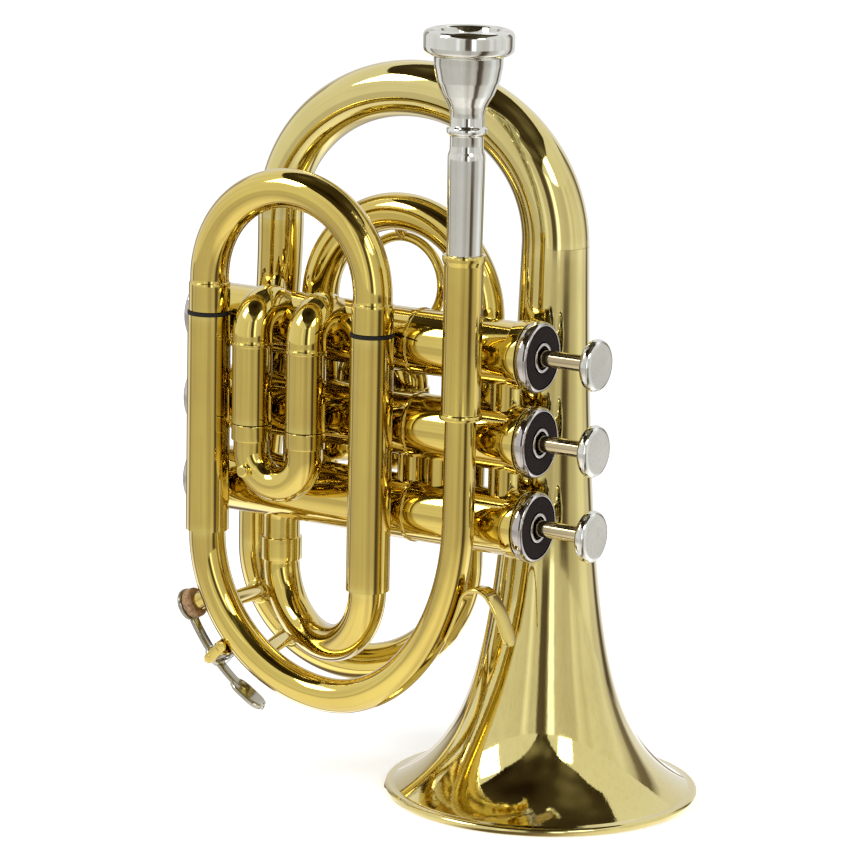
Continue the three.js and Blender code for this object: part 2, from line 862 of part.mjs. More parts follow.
// Entry bow from the right sleeve up into the underside of valve 3
const entryBow = new Arch(
  at(rightSleevePlace, frontPlane, entryHeight),
  at(entryPlace, valvePlane, entryHeight),
  entryHeight - entryDepth,
);
const entryRise = thirdValve - entryHeight - entryFerrule;
const entryRoute = new Route(at(rightSleevePlace, frontPlane, entryHeight), down)
  .follow(entryBow, bowSteps, even(entryRadius))
  .run(entryFerrule, bored(sleeveRadius, entryRadius - tubeWall))
  .run(entryRise, even(entryRadius));
place('entry_bow', cut(steppedTube(entryRoute), casingCutter(valveCount)), brass());

// Knuckles: from a casing's axis, out at a slant and round to a vertical tube in another plane
function knuckle(x, number, slant, radius, plane, rise, bendSteps) {
  const outwards = plane > valvePlane ? back : front;
  const slope = radians(slant);
  const span = Math.abs(plane - valvePlane);
  const reach = (span - radius * (1 + Math.sin(slope))) / Math.cos(slope);
  const away = outwards.clone().multiplyScalar(Math.cos(slope));
  const heading = away.addScaledVector(up, -rise * Math.sin(slope));
  const axis = new THREE.Vector3().crossVectors(heading, up).multiplyScalar(rise).normalize();
  const route = new Route(at(x, valvePlane, valveHeight(number)), heading).run(reach);
  return route.bend(radius, 90 + slant, axis, bendSteps);
}

// First valve slide: knuckles at the front of valve 1, drawn downwards
for (const [side, x] of [
  ['left', firstLeft],
  ['right', firstRight],
]) {
  const route = knuckle(x, 1, firstSlantDegrees, firstBend, frontPlane, -1, kneeSteps + 1);
  route.run(route.end.z - firstTubeFoot);
  const outer = tube(route, firstTubeRadius, firstTubeBore, tubeFacets, tubeFacets);
  place(`first_slide_outer_${side}`, cut(outer, casingCutter(1)), brass());
}

const firstTop = firstTubeFoot - seatGap;
const firstSpan = firstRight - firstLeft;
const firstRoute = new Route(at(firstLeft, frontPlane, firstTop + firstLeg), down)
  .run(firstLeg, bored(firstLegRadius, firstLegBore))
  .run(firstFerrule, bored(firstTubeRadius, firstLegBore))
  .run(firstStraight, bored(firstBowRadius, firstLegBore))
  .bend(firstSpan / 2, -180, back, smallBowSteps, bored(firstBowRadius, firstLegBore))
  .run(firstStraight, bored(firstBowRadius, firstLegBore))
  .run(firstFerrule, bored(firstTubeRadius, firstLegBore))
  .run(firstLeg, bored(firstLegRadius, firstLegBore));
const firstBowHeight = firstTop - firstFerrule - firstStraight;
const knobOut = radians(knobDegrees);
const knobRoot = at(
  (firstLeft + firstRight) / 2 - (firstSpan / 2) * Math.cos(knobOut),
  frontPlane - firstLegRadius,
  firstBowHeight - (firstSpan / 2) * Math.sin(knobOut),
);
const knobEnd = knobRoot.clone().addScaledVector(front, firstBowRadius - firstLegRadius + knobReach);
const firstKnob = rod(knobRoot, knobEnd, knobRadius, finePostFacets);
place('first_valve_slide', join(steppedTube(firstRoute), firstKnob), brass());

// Second valve slide: an arch behind valve 2, drawn upwards
for (const [side, x] of [
  ['left', secondLeft],
  ['right', secondRight],
]) {
  const route = knuckle(x, 2, secondSlantDegrees, secondBend, backPlane, 1, kneeSteps + 1);
  route.run(secondTubeTop - route.end.z);
  const outer = tube(route, sleeveRadius, sleeveBore, tubeFacets, tubeFacets);
  place(`second_slide_outer_${side}`, cut(outer, casingCutter(2)), brass());
}

const secondFoot = secondTubeTop + seatGap;
const secondRoute = new Route(at(secondLeft, backPlane, secondFoot - secondLeg), up)
  .run(secondLeg, bored(legRadius, legBore))
  .run(secondFerrule, bored(ferruleRadius, legBore))
  .bend((secondRight - secondLeft) / 2, 180, back, smallBowSteps, bored(secondBowRadius, legBore))
  .run(secondFerrule, bored(ferruleRadius, legBore))
  .run(secondLeg, bored(legRadius, legBore));
place('second_valve_slide', steppedTube(secondRoute), brass());

// Third valve slide: the wide arch behind all the valves, drawn upwards by its finger ring
const thirdLeftRoute = knuckle(thirdLeft, 3, thirdSlantDegrees, thirdBend, backPlane, 1, kneeSteps);
thirdLeftRoute.run(thirdTubeTop - thirdLeftRoute.end.z);
const thirdRightRoute = knuckle(thirdRightPort, 3, thirdSlantDegrees, thirdBend, backPlane, 1, kneeSteps);
thirdRightRoute
  .run(offsetTop - offsetLength - thirdRightRoute.end.z)
  .sidestep(offsetLength, thirdRight - thirdRightPort, back, kneeSteps - 1)
  .run(thirdTubeTop - offsetTop);
for (const [side, route] of [
  ['left', thirdLeftRoute],
  ['right', thirdRightRoute],
]) {
  const outer = tube(route, sleeveRadius, sleeveBore, tubeFacets, tubeFacets);
  place(`third_slide_outer_${side}`, cut(outer, casingCutter(3)), brass());
}

const thirdFoot = thirdTubeTop + seatGap;
const thirdSpan = thirdRight - thirdLeft;
const thirdRoute = new Route(at(thirdLeft, backPlane, thirdFoot - thirdLeg), up)
  .run(thirdLeg, bored(legRadius, legBore))
  .run(thirdFerrule, bored(ferruleRadius, legBore))
  .bend(thirdSpan / 2, 180, back, bowSteps, bored(thirdBowRadius, legBore))
  .run(thirdFerrule, bored(ferruleRadius, legBore))
  .run(thirdLeg, bored(legRadius, legBore));
place('third_valve_slide', steppedTube(thirdRoute), brass());

// Finger ring: a ring behind the arch with a post up to its tube
function fingerRing() {
  const plane = backPlane + secondBowRadius + clearGap + ringWire;
  const middle = (thirdLeft + thirdRight) / 2;
  const x = middle - ringLeft;
  const radius = ringInner + ringWire;
  const ring = new THREE.TorusGeometry(radius, ringWire, finePostFacets, ringFacets);
  ring.rotateX(Math.PI / 2).translate(x, plane, ringHeight);
  const archHeight = thirdFoot + thirdFerrule + Math.sqrt((thirdSpan / 2) ** 2 - ringLeft ** 2);
  const archCentre = at(x, backPlane, archHeight);
  const root = at(x, plane, ringHeight + radius);
  const reach = root.distanceTo(archCentre) - thirdBowRadius - seatGap;
  const heading = archCentre.sub(root).normalize();
  return join(facingOut(ring), rod(root, root.clone().addScaledVector(heading, reach), ringPost, finePostFacets));
}

place('finger_ring', fingerRing(), brass());

// Valves: each hangs in its own group on the axis of its casing
const casingEnd = capFace - valveLength + bottomCapLength + seatGap;

const casingProfile = [
  [casingBore, casingEnd],
  [casingRadius, casingEnd],
  [casingRadius, ringBack - bodyRingWidth / 2],
  [bodyRingRadius, ringBack - bodyRingWidth / 2],
  [bodyRingRadius, ringBack + bodyRingWidth / 2],
  [casingRadius, ringBack + bodyRingWidth / 2],
  [casingRadius, collarFoot - collarLength],
  [collarRadius, collarFoot - collarLength],
  [collarRadius, collarFoot],
  [casingBore, collarFoot],
  [casingBore, casingEnd],
];

const bottomEnd = capFace - valveLength;
const bottomCapProfile = [
  [0, bottomEnd],
  [bottomCapFlat, bottomEnd],
  [bottomCapShoulder, bottomEnd + (bottomCapLength - bottomCapLip) / 2],
  [bottomCapRadius, bottomEnd + bottomCapLength - bottomCapLip],
  [bottomCapRadius, bottomEnd + bottomCapLength],
  [casingBore, bottomEnd + bottomCapLength],
  [casingBore - bottomCapWall, bottomEnd + bottomCapLength - bottomCapWall],
  [0, bottomEnd + bottomCapLength - bottomCapLip],
];

const capFloor = capFace - capRecess;
const capInner = topCapRadius - capRimWidth;
const capBack = capFace - topCapLength;
const topCapProfile = [
  [capHole, capBack],
  [topCapRadius - capChamfer, capBack],
  [topCapRadius, capBack + capChamfer],
  [topCapRadius, capFace - capChamfer],
  [topCapRadius - capChamfer, capFace],
  [capInner, capFace],
  [capInner, capFloor],
  [capNose, capFloor],
  [capNose, capFace + capNoseRise],
  [capHole, capFace + capNoseRise],
  [capHole, capBack],
];

const feltProfile = ringProfile(
  capNose + seatGap,
  capInner - seatGap,
  capFloor + seatGap,
  capFace - feltSink,
);

// Stem: a plate that closes the spring barrel, a plug inside it and the rod up to the button
const plateTop = capBack - seatGap;
const plateFoot = plateTop - stemPlate;
const plugFoot = plateFoot - stemPlug;
const buttonBack = capFace + capNoseRise + stroke + seatGap;
const buttonFace = buttonBack + buttonThickness;
const barrelBore = barrelRadius - barrelWall;
const stemProfile = [
  [0, plugFoot],
  [barrelBore - seatGap, plugFoot],
  [barrelBore - seatGap, plateFoot],
  [barrelRadius, plateFoot],
  [barrelRadius, plateTop],
  [stemRadius, plateTop],
  [stemRadius, buttonBack + buttonHubLength],
  [0, buttonBack + buttonHubLength],
];

const buttonProfile = [
  [0, buttonBack + buttonHubLength + seatGap],
  [stemRadius + seatGap, buttonBack + buttonHubLength + seatGap],
  [stemRadius + seatGap, buttonBack],
  [buttonHub, buttonBack],
  [buttonRadius - buttonEdge / 2, buttonBack + buttonEdge],
  [buttonRadius, buttonBack + buttonEdge * 2],
  [buttonRadius, buttonFace - buttonEdge / 2],
  [buttonTop, buttonFace],
  [0, buttonFace],
];

// Piston: ported body below, slotted spring barrel above
const barrelTop = plateFoot - seatGap;
const deckTop = barrelTop - barrelLength;
const deckFoot = deckTop - pistonDeck;
const bodyFoot = deckTop - pistonBody;
const pistonBore = pistonRadius - pistonWall;
const pistonProfile = [
  [pistonVent, bodyFoot],
  [pistonRadius, bodyFoot],
  [pistonRadius, deckTop],
  [barrelRadius, deckTop],
  [barrelRadius, barrelTop],
  [barrelBore, barrelTop],
  [barrelBore, deckTop],
  [0, deckTop],
  [0, deckFoot],
  [pistonBore, deckFoot],
  [pistonBore, bodyFoot + pistonDeck],
  [pistonVent, bodyFoot + pistonDeck],
  [pistonVent, bodyFoot],
];

const guideFoot = deckTop + seatGap;
const slotWidth = guideLug + 2 * seatGap;
const slotLength = stroke + guideThickness + 3 * seatGap;
function piston() {
  const slot = new THREE.BoxGeometry(slotLength, 2 * (barrelRadius + overrun), slotWidth);
  slot.translate(deckTop + slotLength / 2, 0, 0);
  return cut(turnedAlongX(pistonProfile), slot);
}

function guide() {
  const hub = turnedAlongX(
    ringProfile(stemRadius, barrelBore - seatGap, guideFoot, guideFoot + guideThickness),
  );
  const lugs = new THREE.BoxGeometry(guideThickness, 2 * guideReach, guideLug);
  lugs.translate(guideFoot + guideThickness / 2, 0, 0);
  const eye = turnedAlongX(rodProfile(stemRadius, guideFoot - overrun, guideFoot + overrun));
  return cut(join(hub, lugs), eye);
}

// Spring: one unbroken wire, as long as the pressed valve leaves room for
class Helix extends THREE.Curve {
  constructor(origin, axis, spoke, curls, rise) {
    super();
    Object.assign(this, { origin, axis, spoke, curls, rise });
  }

  getPoint(t, target = new THREE.Vector3()) {
    const turn = 2 * Math.PI * this.curls * t;
    target.copy(this.spoke).applyAxisAngle(this.axis, turn);
    return target.add(this.origin).addScaledVector(this.axis, this.rise * t);
  }

  getTangent(t, target = new THREE.Vector3()) {
    const turn = 2 * Math.PI * this.curls * t;
    const spoke = this.spoke.clone().applyAxisAngle(this.axis, turn);
    target.crossVectors(this.axis, spoke).multiplyScalar(2 * Math.PI * this.curls);
    return target.addScaledVector(this.axis, this.rise).normalize();
  }
}

const springFoot = guideFoot + guideThickness + seatGap + springWire;
const springTop = plugFoot - stroke - seatGap - springWire;
const springRise = springTop - springFoot;

function wire(route, radius) {
  return tube(route, radius, 0, wireFacets);
}

function valveSpring() {
  const coil = new Helix(
    at(springFoot, 0, 0),
    right,
    at(0, springRadius, 0),
    springCurls,
    springRise,
  );
  const start = coil.getPoint(0).addScaledVector(coil.getTangent(0), -2 * springWire);
  const route = new Route(start, coil.getTangent(0)).run(2 * springWire);
  route.follow(coil, springCurls * curlSteps).run(2 * springWire);
  return wire(route, springWire);
}

// Casing: its tube, the crossover tubes up to the next casing and a post towards the bell
const crossoverPlaces = crossoverRises.map((rise) => capFace - valveLength + rise);
crossoverPlaces.push(capFace - crossoverDrop);

function casing(number) {
  const pieces = [turnedAlongX(casingProfile)];
  const next = turnedAlongX(casingOutline(seatGap)).translate(0, 0, valvePitch);
  if (number > 1) {
    for (const x of crossoverPlaces) {
      const link = rod(at(x, 0, 0), at(x, 0, valvePitch), crossoverRadius);
      pieces.push(cut(link, next));
    }
  }
  if (number === 1 || number === valveCount) {
    const bellSide = bellCutter().translate(0, -valvePlane, -valveHeight(number));
    pieces.push(cut(rod(at(0, 0, 0), at(0, -valvePlane, 0), braceRadius), bellSide));
  }
  return cut(join(...pieces), turnedAlongX(rodProfile(casingBore, casingEnd - overrun, capFace)));
}

for (let number = 1; number <= valveCount; number++) {
  const valve = new THREE.Group();
  valve.position.set(0, valvePlane, valveHeight(number));
  model.add(valve);
  place(`valve_casing_${number}`, casing(number), brass(), valve);
  place(`bottom_cap_${number}`, turnedAlongX(bottomCapProfile), nickel(), valve);
  place(`top_cap_${number}`, turnedAlongX(topCapProfile), nickel(), valve);
  place(`cap_felt_${number}`, turnedAlongX(feltProfile), felt(), valve);
  place(`piston_${number}`, piston(), nickel(), valve);
  place(`valve_stem_${number}`, turnedAlongX(stemProfile, tubeFacets), nickel(), valve);
  place(`finger_button_${number}`, turnedAlongX(buttonProfile), silver(), valve);
  place(`valve_guide_${number}`, guide(), nickel(), valve);
  place(`valve_spring_${number}`, valveSpring(), steel(), valve);
}

// Posts with a flange at each end, cut to the surfaces that they are soldered to
function post(from, to, fromRadius, toRadius, ...cutters) {
  const heading = to.clone().sub(from).normalize();
  const fromFlange = from.clone().addScaledVector(heading, fromRadius + flangeThickness);
  const toFlange = to.clone().addScaledVector(heading, -toRadius - flangeThickness);
  const whole = join(
    rod(from, to, braceRadius, tubeFacets),
    rod(from, fromFlange, flangeRadius, tubeFacets),
    rod(toFlange, to, flangeRadius, tubeFacets),
  );
  return cut(whole, ...cutters);
}

// Flanged braces between the front bow and the back bow
const grownRod = (route, radius) => tube(route, radius + seatGap, 0);
const frontBowArc = new Route(leadBend, down).follow(frontBow, bowSteps);
const backBowCentre = backBowStart.clone().add(backBowEnd).multiplyScalar(1 / 2);
const backBowSpoke = backBowEnd.clone().sub(backBowCentre);
const bowBraces = bowBraceDegrees.map(([frontDegrees, backDegrees]) => {
  const from = frontBowCentre
    .clone()
    .addScaledVector(right, (frontBowSpan / 2) * Math.cos(radians(frontDegrees)))
    .addScaledVector(up, (frontBowSpan / 2) * Math.sin(radians(frontDegrees)));
  const to = backBowCentre
    .clone()
    .addScaledVector(backBowSpoke, Math.cos(radians(backDegrees)))
    .addScaledVector(up, backBowSpoke.length() * Math.sin(radians(backDegrees)));
  return post(
    from,
    to,
    frontBowRadius,
    backTubeRadius,
    grownRod(frontBowArc, frontBowRadius),
    grownRod(backBowRoute, backTubeRadius),
  );
});
bowBraces.forEach((brace, i) => place(`bow_brace_${i + 1}`, brace, brass()));

// Short post that carries the receiver on the casing of valve 1
function receiverBrace() {
  const from = at(leadPlace, frontPlane, valveHeight(1));
  const pipe = rod(
    from.clone().addScaledVector(down, casingRadius),
    from.clone().addScaledVector(up, casingRadius),
    receiverRadius + seatGap,
  );
  return cut(rod(from, at(leadPlace, valvePlane, from.z), braceRadius), casingCutter(1), pipe);
}
place('receiver_brace', receiverBrace(), brass());

// Places and directions round the centre of the front bow
const bowOutward = (degrees) =>
  right
    .clone()
    .multiplyScalar(Math.cos(radians(degrees)))
    .addScaledVector(up, Math.sin(radians(degrees)));
const bowAlong = (degrees) => bowOutward(degrees + 90);
const bowPlace = (degrees, radius) =>
  frontBowCentre.clone().addScaledVector(bowOutward(degrees), radius);
const bowSurface = frontBowSpan / 2 + frontBowRadius;

// A flat strip along a route in the plane of the front bow
function strip(route, width, thickness) {
  const section = new THREE.Shape([
    new THREE.Vector2(-width / 2, -thickness / 2),
    new THREE.Vector2(width / 2, -thickness / 2),
    new THREE.Vector2(width / 2, thickness / 2),
    new THREE.Vector2(-width / 2, thickness / 2),
  ]);
  return facingOut(
    new THREE.ExtrudeGeometry(section, { steps: route.steps, extrudePath: route }),
  );
}

// Finger hook: a foot on the front bow that turns over into a hook for the little finger
const hookSeat = leadBowRadius + seatGap + hookThickness;
const [hookFoot, hookRoot] = hookFootShares.map((share) => {
  const outward = new THREE.Vector3().crossVectors(frontBow.getTangent(share), back);
  return frontBow.getPoint(share).addScaledVector(outward, hookSeat);
});
const hookHeading = frontBow.getTangent(hookFootShares[0]).negate();
const hookRootHeading = frontBow.getTangent(hookFootShares[1]).negate();
const hookFollow = THREE.MathUtils.radToDeg(hookHeading.angleTo(hookRootHeading));
const hookSeatBend = hookFoot.distanceTo(hookRoot) / (2 * Math.sin(radians(hookFollow / 2)));
const hookRoute = new Route(hookFoot, hookHeading)
  .bend(hookSeatBend, hookFollow, front, kneeSteps)
  .bend(hookBend, -hookTurnDegrees, front, 2 * kneeSteps)
  .bend(hookEase, -hookEaseDegrees, front, 2)
  .run(hookTip);
place('finger_hook', strip(hookRoute, hookWidth, hookThickness), brass());

// Water key: nipple, cork, lever with cup, barrel and paddle, saddle with pin, and spring
const nippleTop = bowSurface + nippleHeight;
const bowCutter = grownRod(frontBowArc, frontBowRadius);
const nipple = rod(bowPlace(keyPadDegrees, frontBowSpan / 2), bowPlace(keyPadDegrees, nippleTop), nippleRadius);
const drain = rod(
  bowPlace(keyPadDegrees, bowSurface - overrun),
  bowPlace(keyPadDegrees, nippleTop + overrun),
  nippleRadius / 2,
  finePostFacets,
);
place('water_key_nipple', cut(nipple, bowCutter, drain), brass());

const corkFoot = nippleTop + seatGap;
const corkTop = corkFoot + corkThickness;
place(
  'water_key_cork',
  rod(bowPlace(keyPadDegrees, corkFoot), bowPlace(keyPadDegrees, corkTop), corkRadius),
  cork(),
);

const cupFoot = corkTop + seatGap;
const cupTop = cupFoot + keyCupThickness;
const armRadius = (cupFoot + cupTop) / 2;
const pinRadius = armRadius - keyBarrel - keyArmThickness / 4;
const pinCentre = bowPlace(keyPinDegrees, pinRadius);
const keySpringLeg = pinRadius - bowSurface - earThickness - seatGap - keySpringWire;
const alongPin = (from, to) => [
  pinCentre.clone().addScaledVector(back, from),
  pinCentre.clone().addScaledVector(back, to),
];

function waterKeyLever() {
  const armRoute = new Route(bowPlace(keyPadDegrees, armRadius), bowAlong(keyPadDegrees)).bend(
    armRadius,
    keyPaddleDegrees - keyPadDegrees,
    front,
    smallBowSteps,
  );
  const cup = rod(bowPlace(keyPadDegrees, cupFoot), bowPlace(keyPadDegrees, cupTop), keyCupRadius);
  const barrel = rod(...alongPin(-keyBarrelHalf, keyBarrelHalf), keyBarrel);
  const bore = rod(
    ...alongPin(-keyBarrelHalf - overrun, keyBarrelHalf + overrun),
    keyPin + seatGap,
  );
  const paddleLow = bowPlace(keyPaddleDegrees, armRadius - keyArmThickness / 2);
  const paddleHigh = bowPlace(keyPaddleDegrees, armRadius + keyArmThickness / 2);
  const along = bowAlong(keyPaddleDegrees);
  const paddle = rod(paddleLow, paddleHigh, keyPaddleRadius);
  const far = paddle.clone().translate(
    along.x * keyPaddleLength,
    along.y * keyPaddleLength,
    along.z * keyPaddleLength,
  );
  const tongueRoute = new Route(bowPlace(keyPaddleDegrees, armRadius), along).run(keyPaddleLength);
  const tongue = strip(tongueRoute, 2 * keyPaddleRadius, keyArmThickness);
  const whole = join(
    cup,
    strip(armRoute, keyArmWidth, keyArmThickness),
    barrel,
    paddle,
    tongue,
    far,
  );
  return cut(whole, bore);
}

place('water_key_lever', waterKeyLever(), nickel());

function waterKeySaddle() {
  const earInner = keyBarrelHalf + seatGap;
  const earOuter = earInner + earThickness;
  const pieces = [rod(...alongPin(-earOuter, earOuter), keyPin, finePostFacets)];
  for (const side of [-1, 1]) {
    const [inner, outer] = alongPin(side * earInner, side * earOuter);
    pieces.push(rod(inner, outer, earRadius));
    const middle = (earInner + earOuter) / 2;
    const foot = bowPlace(keyPinDegrees, frontBowSpan / 2).addScaledVector(back, side * middle);
    const head = pinCentre.clone().addScaledVector(back, side * middle);
    const leg = new Route(foot, head.clone().sub(foot)).run(foot.distanceTo(head));
    pieces.push(strip(leg, earThickness, 2 * earRadius));
  }
  const plateRoute = new Route(
    bowPlace(keyPinDegrees, bowSurface - earThickness),
    bowOutward(keyPinDegrees),
  ).run(2 * earThickness);
  pieces.push(strip(plateRoute, 2 * earOuter, earFootWidth));
  return cut(join(...pieces), bowCutter);
}

place('water_key_saddle', waterKeySaddle(), brass());

function waterKeySpring() {
  const radius = keyBarrel + seatGap + keySpringWire;
  const first = keyArmWidth / 2 + seatGap + keySpringWire;
  const spoke = bowAlong(keyPinDegrees).multiplyScalar(radius);
  const origin = pinCentre.clone().addScaledVector(back, first);
  const coil = new Helix(origin, back, spoke, keySpringCurls, keySpringCurls * keySpringPitch);
  const start = coil.getPoint(0).addScaledVector(coil.getTangent(0), -keySpringLeg);
  const route = new Route(start, coil.getTangent(0));
  route.run(keySpringLeg).follow(coil, keySpringCurls * curlSteps);
  route.run(keySpringLeg);
  return wire(route, keySpringWire);
}

place('water_key_spring', waterKeySpring(), steel());

// Least gap of each spring to itself, measured on points of its wire one curl apart or more
function leastGap(radius, wireRadius, curls, rise) {
  const coil = new Helix(at(0, 0, 0), right, at(0, radius, 0), curls, rise);
  const points = coil.getPoints(curls * curlSteps * kneeSteps);
  const curl = curlSteps * kneeSteps;
  let least = Infinity;
  points.forEach((point, i) => {
    for (const other of points.slice(i + curl / 2)) {
      least = Math.min(least, point.distanceTo(other) - 2 * wireRadius);
    }
  });
  return least;
}
const valveSpringGap = leastGap(springRadius, springWire, springCurls, springRise);
const keySpringGap = leastGap(
  keyBarrel + seatGap + keySpringWire,
  keySpringWire,
  keySpringCurls,
  keySpringCurls * keySpringPitch,
);
console.log(`valve spring: least gap to itself ${valveSpringGap.toFixed(2)} mm`);
console.log(`water key spring: least gap to itself ${keySpringGap.toFixed(2)} mm`);

// The origin is under the middle of the whole object, on the surface that it stands on
const box = new THREE.Box3().setFromObject(model);
const middle = box.getCenter(new THREE.Vector3());
model.position.set(-middle.x, -middle.y, -box.min.z);

export default model;
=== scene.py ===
import math

import bpy
import numpy as np
from mathutils import Matrix, Vector


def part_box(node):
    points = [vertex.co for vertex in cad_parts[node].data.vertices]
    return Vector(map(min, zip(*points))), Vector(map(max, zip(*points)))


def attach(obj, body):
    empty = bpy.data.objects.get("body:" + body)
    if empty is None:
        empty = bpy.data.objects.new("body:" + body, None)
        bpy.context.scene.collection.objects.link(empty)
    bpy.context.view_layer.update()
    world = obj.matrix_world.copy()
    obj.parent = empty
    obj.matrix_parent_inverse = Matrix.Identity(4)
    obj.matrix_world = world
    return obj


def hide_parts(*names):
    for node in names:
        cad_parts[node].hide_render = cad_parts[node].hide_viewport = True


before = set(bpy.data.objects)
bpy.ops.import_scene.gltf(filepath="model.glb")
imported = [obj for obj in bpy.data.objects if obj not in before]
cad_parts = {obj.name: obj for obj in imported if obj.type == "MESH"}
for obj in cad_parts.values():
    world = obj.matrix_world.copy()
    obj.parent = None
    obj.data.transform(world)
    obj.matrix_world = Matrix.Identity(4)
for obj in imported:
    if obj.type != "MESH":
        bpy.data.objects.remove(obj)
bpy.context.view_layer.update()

# Sizes of the instrument are in millimetres and places are counted from the bell's axis
MM = 0.001
bell_low, bell_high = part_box("bell")
BELL_AXIS = np.array([*((bell_low + bell_high) / 2)][:2] + [0.0]) / MM
RIGHT, BACK, UP = np.eye(3)
FRONT, DOWN = -BACK, -UP

VALVES, VALVE_SPACING, LOWEST_VALVE = (1, 2, 3), 26, 90.4
VALVE_PLANE, FRONT_PLANE, BACK_PLANE, RETURN_PLANE = -25.24, -42.64, -8.44, 4.36
CASING_BORE, CASING_MIDDLE, CASING_RADIUS, COLLAR_RADIUS, RING_RADIUS = 9.1, 9.45, 9.9, 10.5, 10.35
BOTTOM_CAP_RADIUS, STROKE = 11.2, 15
POST_RADIUS = 2.6
SLEEVE_RADIUS, SLEEVE_BORE, LEG_RADIUS, LEG_BORE, FERRULE_RADIUS = 6.5, 6.0, 5.4, 4.9, 6.3
TUNING_RADIUS, TUNING_BORE, TUNING_LEG, TUNING_LEG_BORE = 6.7, 6.2, 5.7, 5.2
BACK_RADIUS, BACK_BORE, BELL_LEG_RADIUS, BELL_LEG_BORE = 6.0, 5.5, 7.2, 6.6
FRONT_BOW_HEIGHT, LEAD_BEND, LEAD_PLACE, LEFT_SLEEVE, RIGHT_SLEEVE = 77.7, 93.0, -5.9, -97.8, -37.8
SLEEVE_TOP, SLIDE_SEAM = 145.6, 0.3
BELL_HEIGHT, BELL_BOW_RISE, BELL_LEG_PLACE, BACK_BOW_LEFT, BACK_BOW_HEIGHT = 172.0, 43.6, -95.0, -102.4, 66.4
ENTRY_PLACE, ENTRY_HEIGHT, ENTRY_DEPTH, ENTRY_FERRULE = -81.6, 67.3, 21.5, 7.2
FIRST_LEFT, FIRST_RIGHT, FIRST_FOOT, FIRST_JOINT = -81.5, -61.6, 113.6, 138.3
FIRST_TUBE, FIRST_BORE = 6.2, 5.6
SECOND_LEFT, SECOND_RIGHT, SECOND_TOP = -66, -46, 121.4
THIRD_LEFT, THIRD_ROOT, THIRD_RIGHT, THIRD_TOP = -79.7, -25.5, -18.9, 143
RETURN_PLACE, RETURN_BEND = -32.8, 10


def valve_height(number):
    return LOWEST_VALVE + VALVE_SPACING * (VALVES[-1] - number)


def unit(vector):
    vector = np.asarray(vector, float)
    return vector / np.linalg.norm(vector)


def at(x, y, z):
    return np.array([x, y, z], float)


def turned(vector, axis, angle):
    """The vector turned about a unit axis."""
    vector, axis = np.asarray(vector, float), np.asarray(axis, float)
    cosine, sine = math.cos(angle), math.sin(angle)
    return vector * cosine + np.cross(axis, vector) * sine + axis * axis.dot(vector) * (1 - cosine)


def arch(start, end, turn_height):
    """Two quarters of ellipses between two points, through a lowest or highest height."""
    centre, half = (start + end) / 2, (start - end) / 2

    def place(t):
        point = centre + half * math.cos(math.pi * t)
        foot = start[2] if t < 0.5 else end[2]
        point[2] = foot + (turn_height - foot) * math.sin(math.pi * t)
        return point

    return place


# Routes
class Route:
    """A line of straight runs and bends that is followed by its length."""

    def __init__(self, start, heading):
        self.end, self.heading = np.asarray(start, float), unit(heading)
        self.parts, self.length = [], 0.0

    def add(self, length, place):
        self.parts.append((self.length, length, place))
        self.length += length
        self.end, self.heading = place(length)
        return self

    def run(self, length):
        start, heading = self.end, self.heading
        return self.add(length, lambda s: (start + heading * s, heading))

    def bend(self, radius, degrees, axis):
        turn, axis = math.radians(degrees), unit(axis)
        inward = np.cross(axis, self.heading) * math.copysign(1, turn)
        centre = self.end + inward * radius
        spoke, heading, length = self.end - centre, self.heading, abs(turn) * radius

        def place(s):
            angle = turn * s / length
            return centre + turned(spoke, axis, angle), turned(heading, axis, angle)

        return self.add(length, place)

    def sidestep(self, length, offset, axis):
        angle = 2 * math.atan(offset / length)
        radius = length / (2 * math.sin(abs(angle)))
        return self.bend(radius, math.degrees(angle), axis).bend(radius, -math.degrees(angle), axis)

    def follow(self, curve, samples=240):
        points = np.array([curve(t) for t in np.linspace(0, 1, samples)])
        steps = np.linalg.norm(np.diff(points, axis=0), axis=1)
        lengths = np.concatenate([[0], np.cumsum(steps)])
        slopes = np.gradient(points, lengths, axis=0)

        def place(s):
            point = np.array([np.interp(s, lengths, points[:, k]) for k in range(3)])
            slope = np.array([np.interp(s, lengths, slopes[:, k]) for k in range(3)])
            return point, unit(slope)

        return self.add(lengths[-1], place)

    def at(self, s):
        for first, length, place in self.parts:
            if s <= first + length + 1e-9:
                return place(max(0.0, min(length, s - first)))
        return self.parts[-1][2](self.parts[-1][1])


def softened(profile, radius, steps=4, closed=False):
    """A profile with its corners rounded."""
    points = [np.asarray(p, float) for p in profile]
    count = len(points)
    rounded = []
    for i, point in enumerate(points):
        if not closed and i in (0, count - 1):
            rounded.append(point)
            continue
        before, after = points[i - 1], points[(i + 1) % count]
        reach_in, reach_out = np.linalg.norm(before - point), np.linalg.norm(after - point)
        if min(reach_in, reach_out) < 1e-6:
            rounded.append(point)
            continue
        straight = abs(np.cross(unit(point - before), unit(after - point))) < 0.05
        size = min(radius, 0.45 * reach_in, 0.45 * reach_out)
        if straight or size < 0.02:
            rounded.append(point)
            continue
        start, end = point + unit(before - point) * size, point + unit(after - point) * size
        for k in range(steps + 1):
            t = k / steps
            rounded.append((1 - t) ** 2 * start + 2 * t * (1 - t) * point + t * t * end)
    return rounded


